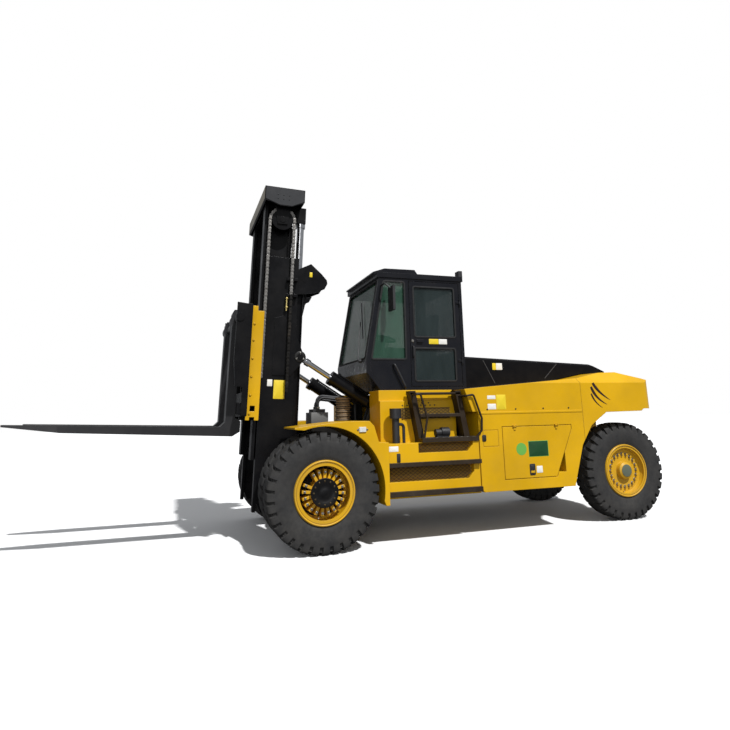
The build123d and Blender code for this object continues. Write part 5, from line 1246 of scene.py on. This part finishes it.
@dataclass
class CabTrim:
    """Window seals, wiper, mirror glass, lamp lenses, lock, dash and levers.

    Args:
        left: Y of the left wall's face.
        right: Y of the right wall's face.
        rear: x of the rear wall, ahead of the drive axle.
        latch: x of the door's lock and grip.
        console: x of the levers on the console.
    """

    left: float = 1.090
    right: float = -0.380
    rear: float = -2.200
    latch: float = -1.388
    console: float = -1.440

    def screen(self, z: float, back: float = 0.0) -> float:
        """x of the windscreen's slope at a height, ahead of the drive axle."""
        return -0.690 - 0.210 * (z - 2.310) / 1.190 - back

    def seal(self, name: str, corners: list[Triple], normal: Triple, body: str = "chassis") -> None:
        """Rubber seal round one window."""
        path = rounded_path([(ahead(x), y, z) for x, y, z in corners], 0.030)
        path = path + np.asarray(normal) / np.linalg.norm(normal) * 0.001
        ring = looped(path, rounded_ring(0.012, 0.026, 0.004, 2), normal)
        piece(f"seal_{name}", ring, body, SEAL_RUBBER)

    def seals(self) -> None:
        """All window seals."""
        low, high = 2.340, 3.450
        for name, y, sign in (("front_left", self.left, 1.0), ("front_right", self.right, -1.0)):
            corners = [(self.screen(low, 0.075), y, low), (self.screen(high, 0.075), y, high),
                       (-1.285, y, high),
                       (-1.285, y, low)]
            self.seal(name, corners, (0, sign, 0))
        # Name, rear and front x, low and high z, Y, side, body
        for name, back, front, low, high, y, sign, body in (
                ("door_high", -2.065, -1.420, 2.660, 3.390, self.left, 1.0, "cab_door"),
                ("door_low", -2.050, -1.415, 2.040, 2.500, self.left, 1.0, "cab_door"),
                ("right_rear", -2.090, -1.370, 2.480, 3.440, self.right, -1.0, "chassis")):
            corners = [(back, y, low), (front, y, low), (front, y, high), (back, y, high)]
            self.seal(name, corners, (0, sign, 0), body)
        round_screen = ((-0.310, 2.355), (1.020, 2.355), (1.020, 3.455), (-0.310, 3.455))
        self.seal("screen", [(self.screen(z), y, z) for y, z in round_screen], (1.19, 0, 0.21))
        round_back = ((-0.270, 2.480), (0.980, 2.480), (0.980, 3.430), (-0.270, 3.430))
        self.seal("back", [(self.rear, y, z) for y, z in round_back], (-1, 0, 0))

    def on_screen(self, y: float, z: float, lift: float) -> Triple:
        """A point that stands off the windscreen by a lift."""
        return ahead(self.screen(z) + lift), y, z + lift * 0.17

    def wiper(self) -> None:
        """Arm and blade on the windscreen."""
        arm = [self.on_screen(*at) for at in ((0.86, 2.330, 0.010), (0.86, 2.345, 0.040), (0.72, 2.62, 0.034),
                                              (0.56, 2.93, 0.012))]
        blade = [self.on_screen(*at) for at in ((0.78, 2.66, 0.002), (0.63, 2.90, 0.002),
                                                (0.42, 3.24, 0.002))]
        pivot = spun(((0.026, 0), (0.026, 0.040), (0.018, 0.048)), 20).turned(facing(Axis.AHEAD, 1.0))
        whole = joined(swept(smooth_path(arm, 24), rounded_ring(0.012, 0.016, 0.004, 2), (0, 1, 0)),
                       swept(smooth_path(blade, 18), rounded_ring(0.014, 0.012, 0.003, 2), (1, 0, 0)),
                       pivot.moved(*self.on_screen(0.86, 2.332, -0.008)))
        piece("wiper", whole, "chassis", TRIM_PLASTIC)

    def lamps(self) -> None:
        """Mirror glass, and the rims and lenses of the work lamps."""
        turn = facing(Axis.AHEAD, -1.0)
        glass = slab(0.318, 0.178, 0.002, 0.022, 0.0008).turned(turn).moved(ahead(-1.0352), 1.280, 3.160)
        piece("mirror_glass", glass, "chassis", MIRROR)
        rim = slab(0.104, 0.114, 0.004, 0.014, 0.0016).turned(turn)
        lens = slab(0.084, 0.094, 0.003, 0.010, 0.0014).turned(turn)
        for name, y in (("left", 0.910), ("right", -0.200)):
            piece(f"work_lamp_rim_{name}", rim.moved(ahead(-2.2902), y, 3.645), "chassis", TRIM_PLASTIC)
            piece(f"work_lamp_lens_{name}", lens.moved(ahead(-2.2944), y, 3.645), "chassis", CLEAR_LENS)

    def door(self) -> None:
        """The door's lock, blank labels and grip."""
        face = self.left + 0.0003
        lock = turned_piece(((0.019, 0), (0.019, 0.006), (0.015, 0.010)), self.latch, face, 2.600, 24)
        piece("door_lock", lock, "cab_door", BOLT_STEEL)
        for name, x, length, finish in (("yellow", -1.715, 0.150, LABEL_YELLOW),
                                        ("white", -1.858, 0.130, LABEL_WHITE)):
            label = plaque(x, 2.598, length, 0.074, face)
            piece(f"door_label_{name}", label, "cab_door", finish)
        # Way out of the wall, height
        route = ((-0.002, 2.370), (0.034, 2.385), (0.038, 2.450), (0.034, 2.515), (-0.002, 2.530))
        grip = smooth_path([(ahead(self.latch), self.left + out, z) for out, z in route], 32)
        piece("door_grip", swept(grip, circle(0.009, 10), (1, 0, 0)), "cab_door", TRIM_PLASTIC)

    def grab_bar(self) -> None:
        """Slanted grab bar on the panel ahead of the door, on two stand-offs."""
        # x ahead of the drive axle, way out of the wall, height
        route = ((-1.090, -0.002, 2.268), (-1.094, 0.045, 2.258), (-1.130, 0.050, 2.188),
                 (-1.208, 0.050, 2.030), (-1.242, 0.045, 1.962), (-1.246, -0.002, 1.952))
        path = smooth_path([(ahead(x), self.left + out, z) for x, out, z in route], 48)
        piece("grab_bar", swept(path, circle(0.015, 12), (1.0, 0, 0.5)), "chassis", TRIM_PLASTIC)

    def inside(self) -> None:
        """Dash with its dark display, and the levers on the console."""
        dash = slab(0.300, 1.060, 0.070, 0.060, 0.020).moved(ahead(-0.930), 0.355, 2.330)
        pod = slab(0.070, 0.260, 0.160, 0.020, 0.012).moved(ahead(-0.920), 0.640, 2.395)
        piece("dash", joined(dash, pod), "chassis", TRIM_PLASTIC)
        x = ahead(self.console)
        arc = np.linspace(-math.pi / 2, math.pi / 2, 9)[1:-1]
        knob = spun(np.column_stack((0.019 * np.cos(arc), 0.024 * np.sin(arc))), 16)
        rod = spun(((0.006, 0), (0.006, 0.130)), 10)
        rows = [-0.215 + 0.062 * step for step in range(4)]
        rods = rod.copies([(x, y, 2.6155) for y in rows])
        piece("console_levers", rods, "chassis", BOLT_STEEL)
        boot = slab(0.120, 0.300, 0.018, 0.030, 0.008).moved(x, -0.122, 2.6152)
        knobs = joined(knob.copies([(x, y, 2.762) for y in rows]), boot)
        piece("console_knobs", knobs, "chassis", TRIM_PLASTIC)

    def build(self) -> None:
        """Everything on and in the cab."""
        self.seals()
        self.wiper()
        self.lamps()
        self.door()
        self.grab_bar()
        self.inside()


# Steps and tanks


@dataclass
class StepTrim:
    """Mesh in the toe recesses, grip studs on the treads, a strap and a blank label.

    Args:
        back: Y of the toe recesses' backs.
        net: Y of the mesh over them.
        tank: Y of the side tanks' face.
    """

    back: float = 1.3605
    net: float = 1.430
    tank: float = 1.4503

    def recesses(self) -> None:
        """Plates of painted shade at the backs, and expanded metal coloured as painted shade, in the toe
        recesses and on the upper riser, both sides.
        """
        # Dark plates of painted shade at the recess backs, where the yellow back walls lie in shadow
        backs = joined(plaque(-1.460, 0.8485, 1.180, 0.170, self.back, 0.004, 0.05),
                       plaque(-1.665, 1.1620, 0.770, 0.108, self.back, 0.004, 0.04),
                       plaque(-1.501, 1.6020, 0.722, 0.150, 1.2003, 0.004, 0.01))
        # Yellow expanded metal, coloured brown as painted shade
        mesh = joined(lattice(-2.030, -0.864, 0.762, 0.936, self.net),
                      lattice(-2.030, -1.274, 1.106, 1.218, self.net),
                      lattice(-1.856, -1.146, 1.532, 1.672, 1.212))
        piece("toe_recess_shade", backs.both(), "chassis", RECESS_SHADE_PAINT)
        piece("toe_mesh", mesh.both(), "chassis", SHADED_MESH_PAINT)
        # Painted shade: dark discs that stand in for the shaded holes of the perforated riser
        dot = spun(((0.010, 0), (0.010, 0.003)), 10).turned(facing(Axis.LEFT, 1.0))
        rows = ((np.arange(-1.160, -1.640, -0.068), 1.708), (np.arange(-1.245, -1.560, -0.100), 1.738))
        hole_shade_dots = dot.copies([(ahead(x), 1.2003, z) for row, z in rows for x in row])
        piece("tank_hole_shade", hole_shade_dots.both(), "chassis", TRIM_PLASTIC)
        # Top bars in the steps' dark brown painted shade
        bar = slab(0.750, 0.148, 0.030, 0.004, 0.003).moved(ahead(-1.590), 1.276, 1.845)
        piece("step_top_bars", bar.both(), "chassis", STEP_SHADE_PAINT)

    def studs(self, apart: float = 0.045) -> None:
        """Raised lozenges on the treads on both sides, turned to and fro from one to the next.

        Args:
            apart: from one to the next in a row. Every other row is shifted by half of that.
        """
        angle = np.linspace(0, 2 * math.pi, 6, endpoint=False)
        outline = np.column_stack((0.0150 * np.cos(angle), 0.0042 * np.sin(angle)))
        lozenge = lofted(np.stack([np.column_stack((outline * share, np.full(6, level)))
                                   for share, level in ((1.0, 0.0), (0.8, 0.0024))]))
        origins = []
        # Rear and front x, inner and outer Y, height of each tread
        for x_low, x_high, y_low, y_high, z in ((-2.130, -1.350, 1.230, 1.450, 1.2820),
                                                (-2.130, -0.850, 1.470, 1.500, 0.6450),
                                                (-2.130, -0.850, 1.470, 1.500, 0.9900),
                                                (-1.930, -1.290, 1.230, 1.340, 1.5900)):
            rows = max(2, int((y_high - y_low) / 0.030) + 1)
            for row, y in enumerate(np.linspace(y_low, y_high, rows)):
                x = np.arange(x_low + apart / 2 * (row % 2), x_high, apart)
                origins.append(np.column_stack((x + DRIVE_X, np.full(len(x), y), np.full(len(x), z))))
        places = np.vstack(origins)
        lean = np.where((np.arange(len(places)) % 2) > 0, 1.0, -1.0) * math.radians(38)
        turns = np.zeros((len(places), 3, 3))
        turns[:, 0, 0], turns[:, 0, 1] = np.cos(lean), -np.sin(lean)
        turns[:, 1, 0], turns[:, 1, 1] = np.sin(lean), np.cos(lean)
        turns[:, 2, 2] = 1.0
        piece("tread_studs", lozenge.copies(places, turns).both(), "chassis", WORN_STEP)

    def build(self) -> None:
        """Everything on the steps and the tanks."""
        self.recesses()
        self.studs()
        label = plaque(-0.925, 1.162, 0.130, 0.066, self.tank)
        piece("tank_label", label, "chassis", LABEL_WHITE)
        strap = plaque(-0.990, 1.050, 0.050, 0.110, self.tank, 0.006, 0.010)
        piece("tank_strap", strap, "chassis", TRIM_PLASTIC)


# Body


@dataclass
class BodyTrim:
    """Blank labels, latches, rest seals, stripes, panel lines and seam bolts.

    Args:
        face: Y of the body's side face.
        hood: Y of the hood's side face.
    """

    face: float = 1.4503
    hood: float = 0.8951

    def stripes(self) -> None:
        """Three curved dark stripes on the counterweight, each widest in its upper part.

        Along a stripe the middle follows a parabola through its two ends and its bend, and the half width
        follows w (1 - t) + tip t, less a short rise at the start.
        """
        # Start, bend and end in x and z, start half width
        table = (((-4.105, 1.985), (-4.190, 1.840), (-4.395, 1.735), 0.027),
                 ((-4.070, 1.930), (-4.125, 1.760), (-4.330, 1.670), 0.026),
                 ((-4.062, 1.830), (-4.105, 1.700), (-4.240, 1.625), 0.015))
        t = np.linspace(0, 1, 18)[:, None]
        front = self.face + 0.0012
        shells = []
        for start, bend, end, wide in table:
            start, bend, end = (np.array(point) for point in (start, bend, end))
            middle = (1 - t) ** 2 * start + 2 * t * (1 - t) * bend + t * t * end
            slope = np.gradient(middle, axis=0)
            slope /= np.linalg.norm(slope, axis=1, keepdims=True)
            square = np.column_stack((-slope[:, 1], slope[:, 0]))
            half = wide * np.minimum(0.62 + 1.6 * t, 1.0) * (1 - t) ** 0.8 + 0.002
            low, high = middle - square * half, middle + square * half
            rings = [np.column_stack((edge[:, 0] + DRIVE_X, np.full(18, y), edge[:, 1]))
                     for edge, y in ((low, self.face), (high, self.face), (high, front), (low, front))]
            shells.append(lofted(np.stack(rings, 1)))
        piece("weight_stripes", joined(*shells), "chassis", STRIPE_PAINT)

    def labels(self) -> None:
        """Blank plates of the left side, the hatch and the hood."""
        disc = turned_piece(((0.082, 0), (0.082, 0.0012)), -2.807, self.face, 1.091, 40)
        white = joined(plaque(-2.385, 1.795, 0.130, 0.050, self.face),
                       plaque(-2.385, 1.670, 0.130, 0.075, self.face))
        plate = plaque(-3.080, 1.087, 0.310, 0.200, self.face)
        rim = plaque(-3.080, 1.087, 0.322, 0.212, self.face - 0.0001, 0.0008)
        hood = self.hood + 0.0002
        # Name, shape, body, finish, slot
        for name, shape, body, finish, slot in (
                ("body_labels_white", white, "chassis", LABEL_WHITE, "body_yellow"),
                ("body_label_yellow", plaque(-2.535, 1.730, 0.150, 0.200, self.face), "chassis", LABEL_YELLOW,
                 "body_yellow"),
                ("hatch_label_round", disc, "side_hatch_left", LABEL_GREEN, "body_yellow"),
                ("hatch_label_plate", plate, "side_hatch_left", LABEL_DARK_GREEN, "body_yellow"),
                ("hatch_label_rim", rim, "side_hatch_left", LABEL_GREEN, "body_yellow"),
                ("hatch_label_white", plaque(-3.075, 0.812, 0.095, 0.090, self.face), "side_hatch_left",
                 LABEL_WHITE, "body_yellow"),
                ("hood_label_yellow", plaque(-2.785, 2.265, 0.060, 0.100, hood, 0.0012), "hood",
                 LABEL_YELLOW, "frame_black"),
                ("hood_label_white", plaque(-2.870, 2.265, 0.105, 0.100, hood, 0.0012), "hood",
                 LABEL_WHITE, "frame_black")):
            piece(name, shape, body, finish)

    def latches(self) -> None:
        """Recessed paddle latch of each hatch, and the small socket ahead of the left one."""
        plate = plaque(-2.960, 0.815, 0.090, 0.150, self.face, 0.006, 0.014)
        paddle = plaque(-2.960, 0.835, 0.056, 0.070, self.face + 0.0058, 0.006, 0.010)
        pair("hatch_latch", joined(plate, paddle), "side_hatch", TRIM_PLASTIC)
        socket = plaque(-2.236, 1.255, 0.060, 0.085, self.face, 0.010, 0.014)
        piece("side_socket", socket, "chassis", TRIM_PLASTIC)

    def seams(self, stations: int = 30) -> None:
        """Rubber rests under the hood's edges, and the folded seam along the body.

        A rest climbs forward: its height falls with x by 0.148 in 1.905, as the hood's lower edge does.

        Args:
            stations: points along each.
        """
        x = np.linspace(-2.175, -3.862, stations)
        level = 1.912 + (-1.975 - x) / 1.905 * 0.148 + 0.004
        path = np.column_stack((x + DRIVE_X, np.full(stations, 0.880), level))
        rest = swept(path, rounded_ring(0.030, 0.022, 0.004, 2))
        piece("hood_rest_seals", rest.both(), "chassis", SEAL_RUBBER)
        x = np.linspace(ahead(-2.175), ahead(-3.868), stations)
        path = np.column_stack((x, np.full(stations, self.face + 0.0002), np.full(stations, 1.585)))
        bead = swept(path, rounded_ring(0.009, 0.034, 0.004, 3))
        piece("seam_beads", bead.both(), "chassis", BODY_PAINT)

    def lines(self) -> None:
        """Pressed lines on the hood's sides, and the bolts along the body's seam."""
        # Upper and lower end of each line
        table = (((-2.605, 2.352), (-2.785, 2.014)), ((-3.905, 2.312), (-3.665, 2.088)))
        ring = rounded_ring(0.0024, 0.010, 0.001, 1)
        shells = []
        for ends in table:
            x, z = np.linspace(*np.array(ends), 3).T
            shells.append(swept(np.column_stack((x + DRIVE_X, np.full(3, self.hood), z)), ring))
        places = [(x, 1.633) for x in (-2.310, -2.760, -3.210, -3.640)]
        pair("hood_lines", joined(*shells), "hood", LINE_PAINT)
        pair("seam_bolts", side_bolts(places, self.face, 0.009, 0.008), "chassis", DARK_BOLT)

    def build(self) -> None:
        """Everything on the body."""
        self.stripes()
        self.labels()
        self.latches()
        self.seams()
        self.lines()


# Hydraulics


@dataclass
class HydraulicTrim:
    """Cover of the valve block, the accumulator's tan coat, hose collars and lamp screws.

    Args:
        valve: x of the valve block.
        coat: radius of the accumulator's coat over its ribs.
        waist: radius between the ribs.
        ribs: number of waists.
    """

    valve: float = -0.210
    coat: float = 0.1135
    waist: float = 0.0995
    ribs: int = 6

    def accumulator(self) -> Shell:
        """Coat with a waist between each pair of ribs, and a rounded top."""
        profile = [(self.coat, 1.4505)]
        for step in range(self.ribs):
            low = 1.480 + 0.058 * step
            profile += [(self.coat, low - 0.002), (self.waist, low + 0.008), (self.waist, low + 0.036),
                        (self.coat, low + 0.046)]
        profile += [(self.coat, 1.8355), (0.092, 1.8515), (0.02, 1.8515)]
        return spun(profile, 48).moved(ahead(-0.535), 0.470, 0)

    def build(self) -> None:
        """Everything on the deck and the fenders."""
        cover = slab(0.252, 0.352, 0.194, 0.014, 0.006).moved(ahead(self.valve), 0.230, 1.4505)
        piece("valve_cover", cover, "chassis", VALVE_PAINT)
        piece("accumulator_coat", self.accumulator(), "chassis", TAN_PAINT)
        collar = spun(((0.028, 0), (0.030, 0.003), (0.030, 0.030), (0.026, 0.034)), 6)
        places = [(ahead(self.valve), y, 1.6905) for y in (0.120, 0.200, 0.280)]
        places += [(ahead(x), y, 1.4503) for x, y in ((-0.640, 0.160), (-0.700, 0.240), (-0.760, 0.320))]
        piece("hose_collars", collar.copies(places), "chassis", BOLT_STEEL)
        profile = ((0.012, 0), (0.012, 0.006), (0.009, 0.009))
        ends = joined(*[turned_piece(profile, x, 1.5403, 1.418, 16) for x in (-0.544, -0.424)])
        pair("fender_lamp_screws", ends, "chassis", BOLT_STEEL)


# Stage


@dataclass
class Studio:
    """Camera, lights and floor.

    Args:
        eye: the camera's place, in metres ahead of the drive axle, left and up.
        yaw: heading of the view, in radians.
        pitch: rise of the view.
        roll: turn of the picture.
        focal: focal length in pixels of the 730 pixel picture.
        centre: the principal point in pixels.
        picture: side of the picture in pixels.
        sensor: width of the camera's sensor in millimetres.
        aim: height that the lamps look at, over the middle of the truck.
        ambient: strength of the soft light from all round.
        floor_half: half the floor's side.
    """

    eye: Triple = (1.7894, 8.7192, 1.6063)
    yaw: float = -1.9114
    pitch: float = 0.2272
    roll: float = -0.022
    focal: float = 583.99
    centre: tuple[float, float] = (379.70, 278.73)
    picture: float = 730.0
    sensor: float = 36.0
    aim: float = 1.6
    ambient: float = 0.32
    floor_half: float = 90.0

    def camera(self) -> None:
        """Put the camera at the photographed view."""
        data = bpy.data.cameras.new("camera")
        data.sensor_width = self.sensor
        data.lens = self.focal / self.picture * self.sensor
        data.shift_x = (self.picture / 2 - self.centre[0]) / self.picture
        data.shift_y = (self.centre[1] - self.picture / 2) / self.picture
        data.clip_end = 200.0
        level = math.cos(self.pitch)
        look = Vector((math.cos(self.yaw) * level, math.sin(self.yaw) * level, math.sin(self.pitch)))
        right = look.cross(Vector((0, 0, 1))).normalized()
        up = right.cross(look)
        cos, sin = math.cos(self.roll), math.sin(self.roll)
        side = cos * right + sin * up
        top = -sin * right + cos * up
        camera = bpy.data.objects.new("camera", data)
        turn = Matrix((side, top, -look)).transposed().to_4x4()
        camera.matrix_world = Matrix.Translation((ahead(self.eye[0]), *self.eye[1:])) @ turn
        bpy.context.scene.collection.objects.link(camera)
        bpy.context.scene.camera = camera

    def sun(self, name: str, place: Triple, power: float, angle: float) -> None:
        """One sun that shines from a place at the middle of the truck.

        Args:
            name: its name.
            place: where it shines from.
            power: its strength.
            angle: its width in the sky, in radians, which softens its shadows.
        """
        data = bpy.data.lights.new(name, "SUN")
        data.energy = power
        data.angle = angle
        lamp = bpy.data.objects.new(name, data)
        start = Vector(place)
        turn = (Vector((0, 0, self.aim)) - start).to_track_quat("-Z", "Y").to_matrix().to_4x4()
        lamp.matrix_world = Matrix.Translation(start) @ turn
        bpy.context.scene.collection.objects.link(lamp)

    def surroundings(self) -> None:
        """White world for the camera and for reflections, soft grey light for the truck."""
        world = bpy.data.worlds.new("studio world")
        bpy.context.scene.world = world
        world.use_nodes = True
        tree = world.node_tree
        tree.nodes.clear()
        output = tree.nodes.new("ShaderNodeOutputWorld")
        plain, white = (tree.nodes.new("ShaderNodeBackground") for _ in range(2))
        for node, colour, strength in ((plain, (0.93, 0.96, 1.0, 1.0), self.ambient),
                                       (white, (1.0, 1.0, 1.0, 1.0), 1.0)):
            node.inputs["Color"].default_value = colour
            node.inputs["Strength"].default_value = strength
        path = tree.nodes.new("ShaderNodeLightPath")
        either = tree.nodes.new("ShaderNodeMath")
        either.operation = "MAXIMUM"
        tree.links.new(path.outputs["Is Camera Ray"], either.inputs[0])
        tree.links.new(path.outputs["Is Transmission Ray"], either.inputs[1])
        mix = tree.nodes.new("ShaderNodeMixShader")
        tree.links.new(either.outputs[0], mix.inputs[0])
        tree.links.new(plain.outputs[0], mix.inputs[1])
        tree.links.new(white.outputs[0], mix.inputs[2])
        tree.links.new(mix.outputs[0], output.inputs[0])

    def floor(self) -> None:
        """Wide floor, pale in view and darker in what it throws back on the truck."""
        side = self.floor_half
        mesh = bpy.data.meshes.new("floor")
        corners = [(-side, -side, 0.0), (side, -side, 0.0), (side, side, 0.0), (-side, side, 0.0)]
        mesh.from_pydata(corners, [], [(0, 1, 2, 3)])
        ink = Sketch("pale floor")
        pale = ink.blended(ink.noise(0.6, 2.0), (0.965, 0.965, 0.965), (0.985, 0.985, 0.985))
        seen = ink.add("ShaderNodeLightPath").outputs["Is Camera Ray"]
        ink.colour(ink.blended(seen, (0.16, 0.16, 0.165), pale))
        ink.shader.inputs["Roughness"].default_value = 0.9
        ink.shader.inputs["Specular IOR Level"].default_value = 0.0
        mesh.materials.append(ink.material)
        floor = bpy.data.objects.new("floor", mesh)
        bpy.context.scene.collection.objects.link(floor)

    def build(self) -> None:
        """Set the whole stage."""
        bpy.context.scene.view_settings.view_transform = "Standard"
        self.camera()
        self.surroundings()
        self.floor()
        self.sun("key", (-2.0, 8.0, 12.0), 3.9, 0.03)
        self.sun("fill", (5.0, 12.0, 4.0), 0.55, 0.5)


def main() -> None:
    """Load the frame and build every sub-assembly in order."""
    logging.basicConfig(level=logging.INFO, format="%(name)s %(message)s")
    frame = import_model()
    Studio().build()
    NodeDress().build(frame["nodes"])
    for assembly in (Tyres(), WheelTrim(), LeafChains(), MastTrim(), CabTrim(), StepTrim(), BodyTrim(),
                     HydraulicTrim()):
        assembly.build()


if __name__ == "__main__":
    main()
